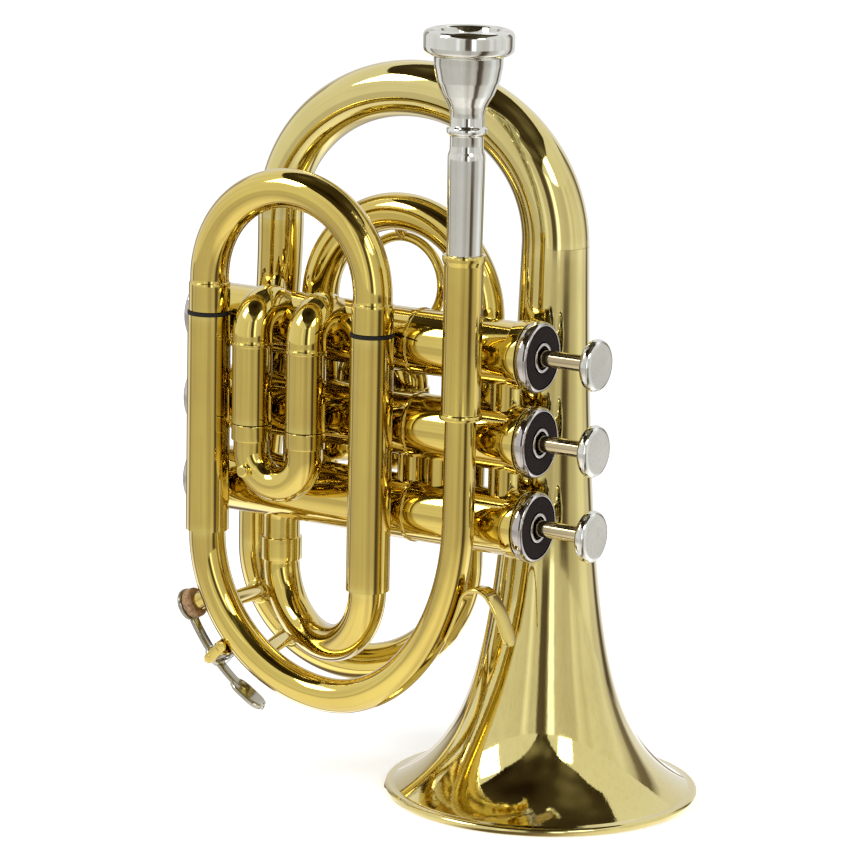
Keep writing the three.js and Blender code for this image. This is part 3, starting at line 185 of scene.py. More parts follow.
# Meshes
class Form:
    """Closed shells that become one mesh."""

    def __init__(self):
        self.points, self.flow, self.faces = np.zeros((0, 3)), np.zeros((0, 3)), []

    def loft(self, rings, wrap):
        """Joins rings of points, in order; a ring of no size becomes one point."""
        starts, kept, flow, first = [], [], [], len(self.points)
        total, passed, before = first, 0.0, None
        for ring in rings:
            radius = np.linalg.norm(ring[0] - ring.mean(0))
            middle = np.append(ring.mean(0), radius)
            passed += 0 if before is None else np.linalg.norm(middle - before)
            before = middle
            ring = ring[:1] if np.ptp(ring, axis=0).max() < 1e-6 else ring
            angles = np.linspace(0, 2 * math.pi, len(ring), endpoint=False)
            along = np.full(len(ring), passed)
            flow.append(np.stack([radius * np.cos(angles), radius * np.sin(angles), along], 1))
            starts.append((total, len(ring)))
            kept.append(ring)
            total += len(ring)
        self.flow = np.concatenate([self.flow, *flow])
        points = np.concatenate(kept)
        pairs = list(zip(starts, starts[1:]))
        if wrap:
            pairs.append((starts[-1], starts[0]))
        faces = []
        for (a, count_a), (b, count_b) in pairs:
            i = np.arange(max(count_a, count_b))
            j = (i + 1) % len(i)
            if count_a == 1 and count_b == 1:
                continue
            if count_a == 1:
                faces.append(np.stack([i * 0 + a, b + j, b + i], 1))
            elif count_b == 1:
                faces.append(np.stack([a + i, a + j, i * 0 + b], 1))
            else:
                faces.append(np.stack([a + i, a + j, b + j, b + i], 1))
        volume = 0.0
        for group in faces:
            corners = points[group - first]
            for k in range(1, group.shape[1] - 1):
                volume += np.sum(corners[:, 0] * np.cross(corners[:, k], corners[:, k + 1]))
        for group in faces:
            self.faces.extend((group[:, ::-1] if volume < 0 else group).tolist())
        self.points = np.concatenate([self.points, points])
        return self

    def cap_ends(self, rings):
        """A solid rod's rings, closed by a point at each end."""
        closed = [np.repeat(rings[0].mean(0)[None], len(rings[0]), 0), *rings]
        closed.append(np.repeat(rings[-1].mean(0)[None], len(rings[-1]), 0))
        return self.loft(closed, False)


def circle(centre, side, other, radius, segments):
    angles = np.linspace(0, 2 * math.pi, segments, endpoint=False)
    return centre + radius * (np.outer(np.cos(angles), side) + np.outer(np.sin(angles), other))


def any_side(heading):
    helper = UP if abs(heading[2]) < 0.9 else RIGHT
    return unit(np.cross(heading, helper))


def stations(profile, step):
    """Length and radius at every ring, no further apart than step."""
    made = [tuple(profile[0])]
    for (s0, r0), (s1, r1) in zip(profile, profile[1:]):
        count = max(1, math.ceil(abs(s1 - s0) / step))
        for k in range(1, count + 1):
            made.append((s0 + (s1 - s0) * k / count, r0 + (r1 - r0) * k / count))
    return made


def rings_along(route, profile, segments, step):
    rings = []
    _, heading = route.at(0)
    side = any_side(heading)
    for s, radius in stations(profile, step):
        centre, heading = route.at(s)
        side = unit(side - heading * side.dot(heading))
        rings.append(circle(centre, side, np.cross(heading, side), radius, segments))
    return rings


def sweep(form, route, outer, inner=None, segments=56, step=1.6, soft=0.25):
    """A tube along a route; outer and inner are (length, radius) profiles or one radius."""
    outer = [(0, outer), (route.length, outer)] if np.isscalar(outer) else outer
    rings = rings_along(route, softened(outer, soft), segments, step)
    if inner is None:
        return form.cap_ends(rings)
    inner = [(0, inner), (route.length, inner)] if np.isscalar(inner) else inner
    return form.loft(rings + rings_along(route, inner, segments, step)[::-1], True)


def lathe(form, profile, origin=(0, 0, 0), axis=UP, segments=72, soft=0.25):
    """A turned form; profile is (radius, place) from axis to axis, or a closed loop."""
    closed = profile[0][0] > 1e-6
    if closed and tuple(profile[0]) == tuple(profile[-1]):
        profile = profile[:-1]
    axis = unit(axis)
    side = any_side(axis)
    other = np.cross(axis, side)
    origin = np.asarray(origin, float)
    rings = [
        circle(origin + axis * place, side, other, max(radius, 0), segments)
        for radius, place in softened(profile, soft, closed=closed)
    ]
    return form.loft(rings, closed)


def rod(form, start, end, radius, segments=40, soft=0.2):
    start, end = np.asarray(start, float), np.asarray(end, float)
    length = np.linalg.norm(end - start)
    profile = [(0, 0), (radius, 0), (radius, length), (0, length)]
    return lathe(form, profile, start, end - start, segments, soft)


def saddle(form, on_axis, tube_heading, tube_radius, outward, radius, thickness, segments=40):
    """A small flange that hugs a round tube; on_axis is where its middle meets the tube's axis."""
    heading, outward = unit(tube_heading), unit(outward)
    heading = unit(heading - outward * heading.dot(outward))
    across = np.cross(outward, heading)
    sunk = -0.4
    profile = [(0.01, sunk), (radius, sunk), (radius, thickness * 0.55)]
    profile += [(radius * 0.8, thickness), (0.01, thickness * 1.35)]
    rings = []
    for ring_radius, place in softened(profile, 0.3):
        ring = circle(on_axis * 0, heading, across, ring_radius, segments)
        sideways = ring @ across
        rise = np.sqrt(np.maximum(tube_radius**2 - sideways**2, 0))
        rings.append(on_axis + ring + np.outer(rise + place, outward))
    return form.cap_ends(rings)


def strip(form, route, width, thickness, axis, step=0.8, ends=0.0):
    """A flat strip along a route, with rounded edges and, if asked, rounded ends."""
    axis = unit(axis)
    corner = thickness * 0.42
    outline = []
    for sx, sy, first in ((1, 1, 0), (-1, 1, 90), (-1, -1, 180), (1, -1, 270)):
        for k in range(5):
            angle = math.radians(first + 22.5 * k)
            outline.append((sx * (width / 2 - corner) + corner * math.cos(angle),
                            sy * (thickness / 2 - corner) + corner * math.sin(angle)))
    rings = []
    count = max(2, math.ceil(route.length / step))
    for i in range(count + 1):
        s = route.length * i / count
        centre, heading = route.at(s)
        from_end = min(s, route.length - s)
        share = 1.0
        if ends and from_end < ends:
            share = math.sqrt(max(0.02, 1 - (1 - from_end / ends) ** 2))
        normal = np.cross(heading, axis)
        rings.append(np.array([centre + axis * x * share + normal * y for x, y in outline]))
    return form.cap_ends(rings)


# Materials
def material(name, base, metallic, roughness, **more):
    made = bpy.data.materials.new(name)
    made.use_nodes = True
    shader = made.node_tree.nodes["Principled BSDF"]
    shader.inputs["Base Color"].default_value = (*base, 1)
    shader.inputs["Metallic"].default_value = metallic
    shader.inputs["Roughness"].default_value = roughness
    for key, value in more.items():
        shader.inputs[key.replace("_", " ")].default_value = value
    return made


def noise(tree, vector, scale, detail=3.0, roughness=0.5):
    node = tree.nodes.new("ShaderNodeTexNoise")
    node.inputs["Scale"].default_value = scale
    node.inputs["Detail"].default_value = detail
    node.inputs["Roughness"].default_value = roughness
    tree.links.new(vector, node.inputs["Vector"])
    return node.outputs["Fac"]


def ramp(tree, fac, *stops):
    node = tree.nodes.new("ShaderNodeValToRGB")
    elements = node.color_ramp.elements
    while len(elements) < len(stops):
        elements.new(0.5)
    for element, (place, color) in zip(elements, stops):
        element.position = place
        element.color = (*color, 1)
    tree.links.new(fac, node.inputs["Fac"])
    return node.outputs["Color"]


def spread(tree, fac, low, high, from_low=0.0, from_high=1.0):
    node = tree.nodes.new("ShaderNodeMapRange")
    node.inputs["From Min"].default_value = from_low
    node.inputs["From Max"].default_value = from_high
    node.inputs["To Min"].default_value = low
    node.inputs["To Max"].default_value = high
    tree.links.new(fac, node.inputs["Value"])
    return node.outputs["Result"]


def bump(tree, height, strength, distance, normal=None):
    node = tree.nodes.new("ShaderNodeBump")
    node.inputs["Strength"].default_value = strength
    node.inputs["Distance"].default_value = distance
    tree.links.new(height, node.inputs["Height"])
    if normal is not None:
        tree.links.new(normal, node.inputs["Normal"])
    return node.outputs["Normal"]


def place_of(tree, scale=(1, 1, 1)):
    coordinates = tree.nodes.new("ShaderNodeTexCoord")
    mapping = tree.nodes.new("ShaderNodeMapping")
    mapping.inputs["Scale"].default_value = scale
    tree.links.new(coordinates.outputs["Object"], mapping.inputs["Vector"])
    return mapping.outputs["Vector"]


def flow_of(tree, scale):
    """The unrolled surface: across a tube in its first two numbers, along it in the third."""
    attribute = tree.nodes.new("ShaderNodeAttribute")
    attribute.attribute_name = "flow"
    mapping = tree.nodes.new("ShaderNodeMapping")
    mapping.inputs["Scale"].default_value = scale
    tree.links.new(attribute.outputs["Vector"], mapping.inputs["Vector"])
    return mapping.outputs["Vector"]


def mixed(tree, kind, factor, first, second):
    node = tree.nodes.new("ShaderNodeMix")
    node.data_type, node.blend_type = "RGBA", kind
    for socket, value in (("Factor", factor), ("A", first), ("B", second)):
        if isinstance(value, (tuple, float)):
            node.inputs[socket].default_value = (*value, 1) if isinstance(value, tuple) else value
        else:
            tree.links.new(value, node.inputs[socket])
    return node.outputs["Result"]


DRAWN = (900, 900, 14)
STAIN_SCALE, SMEAR_SCALE, WAVE_SCALE = 38, 90, 55


def polished(name, deep, clear, edge, roughness, lines=0.25, **more):
    """A bright plated or lacquered metal: slight tarnish, lines of its drawing, soft waves and worn edges."""
    made = material(name, clear, 1.0, roughness, **more)
    tree = made.node_tree
    shader = tree.nodes["Principled BSDF"]
    place = place_of(tree)
    stain = noise(tree, place, STAIN_SCALE, 4.0, 0.6)
    color = ramp(tree, stain, (0.3, deep), (0.62, clear))
    hairs = noise(tree, flow_of(tree, DRAWN), 1.0, 3.0, 0.6)
    shade = ramp(tree, hairs, (0.36, (0.55, 0.5, 0.42)), (0.5, (1, 1, 1)))
    color = mixed(tree, "MULTIPLY", lines, color, shade)
    geometry = tree.nodes.new("ShaderNodeNewGeometry")
    worn = ramp(tree, geometry.outputs["Pointiness"], (0.5, (0, 0, 0)), (0.56, (1, 1, 1)))
    tree.links.new(mixed(tree, "MIX", worn, color, edge), shader.inputs["Base Color"])
    smear = noise(tree, place, SMEAR_SCALE, 5.0, 0.65)
    tree.links.new(spread(tree, smear, roughness * 0.7, roughness * 1.7, 0.35, 0.7),
                   shader.inputs["Roughness"])
    waves = noise(tree, place, WAVE_SCALE, 1.0)
    first = bump(tree, waves, 0.06, 0.001)
    tree.links.new(bump(tree, hairs, 0.05, 0.0002, first), shader.inputs["Normal"])
    return made


BRASS = polished("lacquered_brass", (0.59, 0.43, 0.075), (0.66, 0.505, 0.09), (0.69, 0.55, 0.125), 0.055,
                 Coat_Weight=1.0, Coat_Roughness=0.03, Coat_IOR=1.55)
SILVER = polished("silver_plate", (0.52, 0.52, 0.47), (0.66, 0.66, 0.6), (0.9, 0.9, 0.87), 0.05, lines=0.2,
                  Coat_Weight=0.3, Coat_Roughness=0.02)
NICKEL = polished("nickel_plate", (0.36, 0.33, 0.31), (0.47, 0.44, 0.42), (0.8, 0.78, 0.75), 0.07, lines=0.2)
BELL_BRASS = polished("bell_brass", (0.60, 0.50, 0.155), (0.67, 0.565, 0.195), (0.7, 0.59, 0.22), 0.045,
                      lines=0.12, Coat_Weight=1.0, Coat_Roughness=0.02, Coat_IOR=1.6)
# Nickel of the valve stems, tinted golden: the tint is a painted reflection of the brass tubes round them
STEM_NICKEL_PAINTED_REFLECTION = polished("stem_nickel_painted_reflection", (0.34, 0.27, 0.15), (0.46, 0.38, 0.22), (0.7, 0.62, 0.42), 0.09,
                       lines=0.2)
# Nickel of the water key's lever, darkened: painted shade that stands for the dark surroundings the lever
# reflects
KEY_NICKEL_PAINTED_SHADE = polished("key_nickel_painted_shade", (0.16, 0.145, 0.10), (0.27, 0.25, 0.185), (0.6, 0.58, 0.5), 0.11,
                      lines=0.2)
STEEL = polished("spring_steel", (0.42, 0.41, 0.40), (0.6, 0.6, 0.6), (0.75, 0.75, 0.75), 0.25)


def felt_material():
    made = material("black_felt", (0.02, 0.012, 0.011), 0.0, 1.0, Specular_IOR_Level=0.1, Sheen_Weight=0.05,
                    Sheen_Roughness=0.6)
    tree = made.node_tree
    shader = tree.nodes["Principled BSDF"]
    fibres = noise(tree, place_of(tree, (1, 1, 2.5)), 2600, 6.0, 0.75)
    tree.links.new(ramp(tree, fibres, (0.3, (0.006, 0.003, 0.003)), (0.75, (0.03, 0.015, 0.013))),
                   shader.inputs["Base Color"])
    tree.links.new(bump(tree, fibres, 0.7, 0.0003), shader.inputs["Normal"])
    return made


def cork_material():
    made = material("cork", (0.45, 0.27, 0.13), 0.0, 0.85)
    tree = made.node_tree
    shader = tree.nodes["Principled BSDF"]
    place = place_of(tree)
    cells = tree.nodes.new("ShaderNodeTexVoronoi")
    cells.inputs["Scale"].default_value = 1400
    tree.links.new(place, cells.inputs["Vector"])
    specks = noise(tree, place, 900, 5.0, 0.7)
    tree.links.new(ramp(tree, specks, (0.3, (0.16, 0.075, 0.03)), (0.6, (0.5, 0.3, 0.15))),
                   shader.inputs["Base Color"])
    tree.links.new(bump(tree, cells.outputs["Distance"], 0.6, 0.0002), shader.inputs["Normal"])
    return made


def rubber_material():
    made = material("black_rubber", (0.012, 0.011, 0.01), 0.0, 0.6, Specular_IOR_Level=0.25)
    tree = made.node_tree
    shader = tree.nodes["Principled BSDF"]
    grain = noise(tree, place_of(tree), 1500, 4.0, 0.6)
    tree.links.new(ramp(tree, grain, (0.3, (0.004, 0.004, 0.004)), (0.8, (0.016, 0.015, 0.014))),
                   shader.inputs["Base Color"])
    tree.links.new(bump(tree, grain, 0.3, 0.0001), shader.inputs["Normal"])
    return made


FELT, CORK, RUBBER = felt_material(), cork_material(), rubber_material()


def piece(name, form, finish, body, *nodes, sharp=38):
    """One object of the model, in its place, on its body, standing for its solids."""
    mesh = bpy.data.meshes.new(name)
    points = (form.points + BELL_AXIS) * MM
    mesh.from_pydata(points.tolist(), [], form.faces)
    flow = mesh.attributes.new("flow", "FLOAT_VECTOR", "POINT")
    flow.data.foreach_set("vector", (form.flow * MM).ravel())
    mesh.materials.append(finish)
    mesh.shade_smooth()
    mesh.set_sharp_from_angle(angle=math.radians(sharp))
    made = bpy.data.objects.new(name, mesh)
    bpy.context.scene.collection.objects.link(made)
    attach(made, body)
    if nodes:
        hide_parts(*nodes)


def seated(form, first=0):
    """Ends that run into a valve casing stop inside its wall, clear of the piston."""
    for number in VALVES:
        centre = at(0, VALVE_PLANE, valve_height(number))[1:]
        offset = form.points[first:, 1:] - centre
        reach = np.linalg.norm(offset, axis=1)
        near = (reach < CASING_MIDDLE) & (reach > 0)
        offset[near] *= (CASING_MIDDLE / reach[near])[:, None]
        form.points[first:, 1:] = centre + offset
    return form


# Bell, bell bow, bell leg, back bow, return leg
RIM_RADIUS, RIM_BEAD, BELL_WALL, BOW_BORE_FIRST, BOW_BORE_LAST = 48.9, 1.45, 0.9, 9.1, 6.1
THROAT_RADIUS, FLARE_REACH, FLARE_POWER = 5.2, 20, 0.945
RIM_STEPS, FLARE_STEPS = 30, 90


def flare(height):
    reach = FLARE_REACH / (FLARE_REACH + max(height, RIM_BEAD) - RIM_BEAD)
    return THROAT_RADIUS + (RIM_RADIUS - RIM_BEAD / 2 - THROAT_RADIUS) * reach**FLARE_POWER


def bell():
    bead_centre = RIM_RADIUS - RIM_BEAD
    foot = RIM_BEAD * math.cos(math.pi / 8)
    profile = []
    for k in range(RIM_STEPS):
        angle = math.radians(-180 + 9.5 * k)
        profile.append((bead_centre + 0.92 * RIM_BEAD * math.cos(angle), foot * (1 + math.sin(angle))))
    start = foot + 0.95 * RIM_BEAD
    shares = [(i / FLARE_STEPS) ** 2.2 for i in range(1, FLARE_STEPS + 1)]
    heights = [start + (BELL_HEIGHT - start) * share for share in shares]
    profile += [(flare(h), h) for h in heights]
    profile += [(flare(h) - BELL_WALL, h) for h in heights[::-1]]
    return lathe(Form(), profile, segments=180, soft=0)


piece("bell_horn", bell(), BELL_BRASS, "horn", "bell")

bell_leg_foot = at(BELL_LEG_PLACE, BACK_PLANE, BELL_HEIGHT)
bell_top = at(0, 0, BELL_HEIGHT)
route = Route(bell_top, UP).follow(arch(bell_top, bell_leg_foot, BELL_HEIGHT + 0.3 + BELL_BOW_RISE))
outer = [(0, flare(BELL_HEIGHT)), (route.length, BELL_LEG_RADIUS)]
form = sweep(Form(), route, outer, [(0, BOW_BORE_FIRST), (route.length, BOW_BORE_LAST)], 64)
piece("bell_bow_tube", form, BELL_BRASS, "horn", "bell_bow")

route = Route(bell_leg_foot, DOWN)
route.sidestep(BELL_HEIGHT - BACK_BOW_HEIGHT, BELL_LEG_PLACE - BACK_BOW_LEFT, BACK)
outer = [(0, BELL_LEG_RADIUS), (route.length, BACK_RADIUS)]
form = sweep(Form(), route, outer, [(0, BELL_LEG_BORE), (route.length, BACK_BORE)])
post_root = at(BELL_LEG_PLACE, BACK_PLANE, 156)
post_end = at(-86, VALVE_PLANE, valve_height(1))
heading = unit(post_end - post_root)
rod(form, post_root + heading * 5, post_end - heading * 8, POST_RADIUS)
piece("bell_leg_tube", seated(form), BRASS, "horn", "bell_leg")

back_start = at(BACK_BOW_LEFT, BACK_PLANE, BACK_BOW_HEIGHT)
back_end = at(RETURN_PLACE, RETURN_PLANE, BACK_BOW_HEIGHT)
back_axis = unit(np.cross(DOWN, back_end - back_start))
back_span = np.linalg.norm(back_end - back_start)
back_route = Route(back_start, DOWN).bend(back_span / 2, 180, back_axis)
piece("back_bow_tube", sweep(Form(), back_route, BACK_RADIUS, BACK_BORE), BRASS, "horn", "back_bow")

route = Route(back_end, UP).run(valve_height(1) - 2.4 - RETURN_BEND - BACK_BOW_HEIGHT)
route.bend(RETURN_BEND, 90, RIGHT).run(RETURN_PLANE - RETURN_BEND - VALVE_PLANE - 7)
form = sweep(Form(), route, BACK_RADIUS, BACK_BORE)
piece("return_leg_tube", seated(form), BRASS, "horn", "return_leg")

# Mouthpiece, receiver and leadpipe
MOUTHPIECE = [
    (4.7, 150), (5.3, 174), (5.6, 202.2), (5.6, 203.6), (5.05, 205), (5.05, 209.5), (6.1, 210.2),
    (6.1, 211.6), (5.05, 212.3), (5.05, 215.9), (5.9, 218.2), (7.6, 221.2), (9.3, 225.4), (10.2, 230.0),
    (10.3, 232.9), (11.6, 233.1), (13.1, 234.0), (13.5, 235.2), (13.5, 239.0), (12.9, 240.2), (10.9, 240.9),
    (9.2, 240.5), (8.3, 238.6), (7.9, 230.2), (6.5, 224.9), (4.4, 222.4), (1.9, 219.5), (3.9, 150),
    (4.7, 150),
]
piece("mouthpiece_cup", lathe(Form(), MOUTHPIECE, at(LEAD_PLACE, FRONT_PLANE, 0), segments=96, soft=0.5),
      SILVER, "mouthpiece", "mouthpiece")

RECEIVER = [
    (4.9, 124.4), (6.4, 124.4), (6.55, 125.2), (6.4, 126), (5.95, 126.2), (5.95, 170.8), (6.55, 172.4),
    (6.55, 174), (5.5, 174), (5.0, 150), (4.9, 149), (4.9, 124.4),
]
piece("receiver_tube", lathe(Form(), RECEIVER, at(LEAD_PLACE, FRONT_PLANE, 0)), BRASS, "horn",
      "mouthpiece_receiver")

LEAD_TOP, FRONT_BOW_RADIUS = 148.8, 5.7
front_span = LEAD_PLACE - LEFT_SLEEVE
lead_run = LEAD_TOP - LEAD_BEND
lead_bend = at(LEAD_PLACE, FRONT_PLANE, LEAD_BEND)
left_foot = at(LEFT_SLEEVE, FRONT_PLANE, FRONT_BOW_HEIGHT)
front_bow = arch(lead_bend, left_foot, FRONT_BOW_HEIGHT - front_span / 2)
front_route = Route(at(LEAD_PLACE, FRONT_PLANE, LEAD_TOP), DOWN).run(lead_run).follow(front_bow)
sizes = [(0, 4.55), (lead_run, 4.9), (front_route.length, FRONT_BOW_RADIUS)]
form = sweep(Form(), front_route, sizes, [(s, r - 0.5) for s, r in sizes])
piece("leadpipe_and_front_bow", form, BRASS, "horn", "leadpipe_bow")

# Main tuning slide and its sleeves
for side, x, foot in (("left", LEFT_SLEEVE, FRONT_BOW_HEIGHT), ("right", RIGHT_SLEEVE, ENTRY_HEIGHT)):
    route = Route(at(x, FRONT_PLANE, foot), UP).run(SLEEVE_TOP - foot)
    form = sweep(Form(), route, TUNING_RADIUS, TUNING_BORE)
    for number in (1, 3):
        height = valve_height(number) - POST_RADIUS
        rod(form, at(x, FRONT_PLANE + 6, height), at(x, VALVE_PLANE - 9.5, height), POST_RADIUS)
    piece(f"tuning_sleeve_tube_{side}", form, BRASS, "horn", f"tuning_sleeve_{side}")
    ring = [(6.0, 0.1), (6.75, 0.1), (6.75, 1.1), (6.0, 1.1), (6.0, 0.1)]
    ring = [(radius, SLEEVE_TOP + place) for radius, place in ring]
    piece(f"stop_ring_{side}", lathe(Form(), ring, at(x, FRONT_PLANE, 0), soft=0.1), RUBBER, "horn",
          f"tuning_stop_ring_{side}")


def slide(foot, leg, ferrule, x_left, x_right, plane, bow_radius, rise=1, leg_radius=LEG_RADIUS,
          ferrule_radius=FERRULE_RADIUS, straight=0.0, bore=LEG_BORE):
    """A slide's tube: leg, ferrule, bow, ferrule and leg."""
    up = UP * rise
    route = Route(at(x_left, plane, foot) - up * leg, up).run(leg).run(ferrule + straight)
    route.bend((x_right - x_left) / 2, 180 * rise, BACK).run(ferrule + straight).run(leg)
    end = route.length
    half = [(0, leg_radius), (leg, leg_radius), (leg, ferrule_radius), (leg + ferrule, ferrule_radius),
            (leg + ferrule, bow_radius)]
    outer = half + [(end - s, r) for s, r in half[::-1]]
    return sweep(Form(), route, outer, bore)


form = slide(SLEEVE_TOP + 1.2, 46, 8.9, LEFT_SLEEVE, RIGHT_SLEEVE, FRONT_PLANE, 6.0, leg_radius=TUNING_LEG,
             ferrule_radius=6.4, straight=1.8, bore=TUNING_LEG_BORE)
piece("main_tuning_slide_tube", form, BRASS, "main_tuning_slide", "main_tuning_slide")

# Entry bow
ENTRY_RADIUS, ENTRY_BORE = 5.75, 5.25
entry_start = at(RIGHT_SLEEVE, FRONT_PLANE, ENTRY_HEIGHT)
entry_end = at(ENTRY_PLACE, VALVE_PLANE, ENTRY_HEIGHT)
route = Route(entry_start, DOWN).follow(arch(entry_start, entry_end, ENTRY_HEIGHT - ENTRY_DEPTH))
first, last = route.length, route.length + ENTRY_FERRULE
route.run(ENTRY_FERRULE).run(valve_height(3) - ENTRY_HEIGHT - ENTRY_FERRULE - 7)
outer = [(0, ENTRY_RADIUS), (first, ENTRY_RADIUS), (first, SLEEVE_RADIUS), (last, SLEEVE_RADIUS),
         (last, ENTRY_RADIUS), (route.length, ENTRY_RADIUS)]
piece("entry_bow_tube", seated(sweep(Form(), route, outer, ENTRY_BORE)), BRASS, "horn", "entry_bow")


# Knuckles and valve slides
def knuckle(x, number, slant, radius, plane, rise):
    """A route out of a casing at a slant, and a bend that ends upright."""
    outwards = BACK if plane > VALVE_PLANE else FRONT
    slope = math.radians(slant)
    reach = (abs(plane - VALVE_PLANE) - radius * (1 + math.sin(slope))) / math.cos(slope)
    heading = outwards * math.cos(slope) - UP * rise * math.sin(slope)
    axis = unit(np.cross(heading, UP) * rise)
    start = at(x, VALVE_PLANE, valve_height(number)) + heading * 6
    return Route(start, heading).run(reach - 6).bend(radius, 90 + slant, axis)


for side, x in (("left", FIRST_LEFT), ("right", FIRST_RIGHT)):
    route = knuckle(x, 1, 50, 8, FRONT_PLANE, -1)
    joint = route.length + route.end[2] - FIRST_JOINT
    route.run(route.end[2] - FIRST_FOOT)
    bead = [(joint - 0.6, FIRST_TUBE), (joint - 0.5, 6.55), (joint + 0.5, 6.55), (joint + 0.6, FIRST_TUBE)]
    outer = [(0, FIRST_TUBE), *bead, (route.length, FIRST_TUBE)]
    form = sweep(Form(), route, outer, FIRST_BORE, soft=0.15)
    piece(f"first_slide_tube_{side}", seated(form), BRASS, "horn", f"first_slide_outer_{side}")

first_top, first_radius = FIRST_FOOT - SLIDE_SEAM, (FIRST_RIGHT - FIRST_LEFT) / 2
form = slide(first_top, 22, 5, FIRST_LEFT, FIRST_RIGHT, FRONT_PLANE, 5.5, rise=-1, leg_radius=5.1,
             ferrule_radius=FIRST_TUBE, straight=3, bore=4.6)
knob = at((FIRST_LEFT + FIRST_RIGHT) / 2, FRONT_PLANE - 5, first_top - 8)
knob -= first_radius * at(math.cos(math.radians(35)), 0, math.sin(math.radians(35)))
lathe(form, [(0, 0), (1.5, 0), (1.5, 1.2), (2, 1.9), (2, 2.5), (1.4, 2.9), (0, 2.9)], knob, FRONT, 32)
piece("first_valve_slide_tube", form, BRASS, "first_valve_slide", "first_valve_slide")

for side, x in (("left", SECOND_LEFT), ("right", SECOND_RIGHT)):
    route = knuckle(x, 2, 60, 6.6, BACK_PLANE, 1)
    route.run(SECOND_TOP - route.end[2])
    form = sweep(Form(), route, SLEEVE_RADIUS, SLEEVE_BORE)
    piece(f"second_slide_tube_{side}", seated(form), BRASS, "horn", f"second_slide_outer_{side}")
form = slide(SECOND_TOP + SLIDE_SEAM, 9.5, 2.2, SECOND_LEFT, SECOND_RIGHT, BACK_PLANE, 5.8)
piece("second_valve_slide_tube", form, BRASS, "second_valve_slide", "second_valve_slide")

left_route = knuckle(THIRD_LEFT, 3, 14, 7, BACK_PLANE, 1)
left_route.run(THIRD_TOP - left_route.end[2])
step_foot, step_rise = 107.5, 16
right_route = knuckle(THIRD_ROOT, 3, 14, 7, BACK_PLANE, 1)
right_route.run(step_foot - right_route.end[2]).sidestep(step_rise, THIRD_RIGHT - THIRD_ROOT, BACK)
right_route.run(THIRD_TOP - step_foot - step_rise)
for side, route in (("left", left_route), ("right", right_route)):
    form = sweep(Form(), route, SLEEVE_RADIUS, SLEEVE_BORE)
    piece(f"third_slide_tube_{side}", seated(form), BRASS, "horn", f"third_slide_outer_{side}")
form = slide(THIRD_TOP + SLIDE_SEAM, 18.5, 4.5, THIRD_LEFT, THIRD_RIGHT, BACK_PLANE, 5.8)
piece("third_valve_slide_tube", form, BRASS, "third_valve_slide", "third_valve_slide")

# Finger ring of the third slide, and its post
ring_plane, ring_x, ring_height, ring_radius, ring_wire = BACK_PLANE + 7.95, -54.3, 154.6, 14.35, 1.55
bow_height, bow_radius, bow_offset = 147.8, 30.4, 5
route = Route(at(ring_x + ring_radius, ring_plane, ring_height), UP)
route.bend(ring_radius, -360, BACK)
form = Form()
form.loft(rings_along(route, [(0, ring_wire), (route.length * 0.995, ring_wire)], 28, 1.0), True)
crown = at(ring_x, BACK_PLANE, bow_height + math.sqrt(bow_radius**2 - bow_offset**2))
root = at(ring_x, ring_plane, ring_height + ring_radius)
rod(form, root, crown - unit(crown - root) * 5.2, 1.6)
piece("finger_ring_wire", form, BRASS, "third_valve_slide", "finger_ring")

# Valves
CAP_FACE, CAP_LIP = 11.8, 0.2
CAP_BACK, RING_BACK, BOTTOM = CAP_FACE - 4, CAP_FACE - 43.3, CAP_FACE - 126.4
BUTTON_BACK = CAP_FACE + CAP_LIP + STROKE + 0.3
FELT_DEPTH = 1.5


def placed(origin, *points):
    """A profile whose places are counted from origin."""
    return [(radius, origin + place) for radius, place in points]


CASING = [
    *placed(BOTTOM, (CASING_BORE, 5.6), (CASING_RADIUS, 5.6)),
    *placed(RING_BACK, (CASING_RADIUS, -0.6), (RING_RADIUS, -0.6), (RING_RADIUS, 0.6), (CASING_RADIUS, 0.6)),
    *placed(CAP_BACK, (CASING_RADIUS, -4.2), (COLLAR_RADIUS, -4.2), (COLLAR_RADIUS, -0.2)),
    *placed(CAP_BACK, (CASING_BORE, -0.2)),
    *placed(BOTTOM, (CASING_BORE, 5.6)),
]
BOTTOM_CAP = placed(
    BOTTOM, (0, 0), (3.0, 0.15), (6.4, 0.65), (9.2, 1.6), (10.6, 2.4), (BOTTOM_CAP_RADIUS, 3.1),
    (BOTTOM_CAP_RADIUS, 5.4), (CASING_BORE, 5.4), (8.3, 4.6), (0, 3),
)
TOP_CAP = [
    *placed(CAP_BACK, (3.6, 0), (10.2, 0), (10.75, 0.7), (10.9, 1.8)),
    *placed(CAP_FACE, (10.75, -1), (10.3, -0.25), (9.9, 0), (9.6, 0), (9.4, -FELT_DEPTH), (4.7, -FELT_DEPTH)),
    *placed(CAP_FACE, (4.5, CAP_LIP), (3.6, CAP_LIP)),
    *placed(CAP_BACK, (3.6, 0)),
]
FELT_DISC = placed(
    CAP_FACE, (4.75, -FELT_DEPTH), (9.35, -FELT_DEPTH), (9.35, -0.25), (8.6, -0.1), (5.4, -0.1), (4.75, -0.3),
    (4.75, -FELT_DEPTH),
)
STEM = [(0, 3.6), (6.7, 3.6), (6.7, 5.8), (7.9, 5.8), (7.9, 7.5), (2.5, 7.5)]
STEM += placed(BUTTON_BACK, (2.5, 0.6), (0, 0.6))
BUTTON = placed(
    BUTTON_BACK, (0, 0), (3.4, 0), (4.0, 0.5), (6.8, 0.8), (7.6, 1.5), (7.9, 2.5), (7.75, 3.5), (7.2, 4.2),
    (6.5, 4.42), (3, 4.5), (0, 4.5),
)
CROSSOVERS, CROSSOVER_RADIUS = (-94, -76, -1), 4.5
LINK_PLACES, LINK_RADIUS = (-33.5, -23.5), 4.6
LINK_FOOT, LINK_TOP = 8, VALVE_SPACING - 8
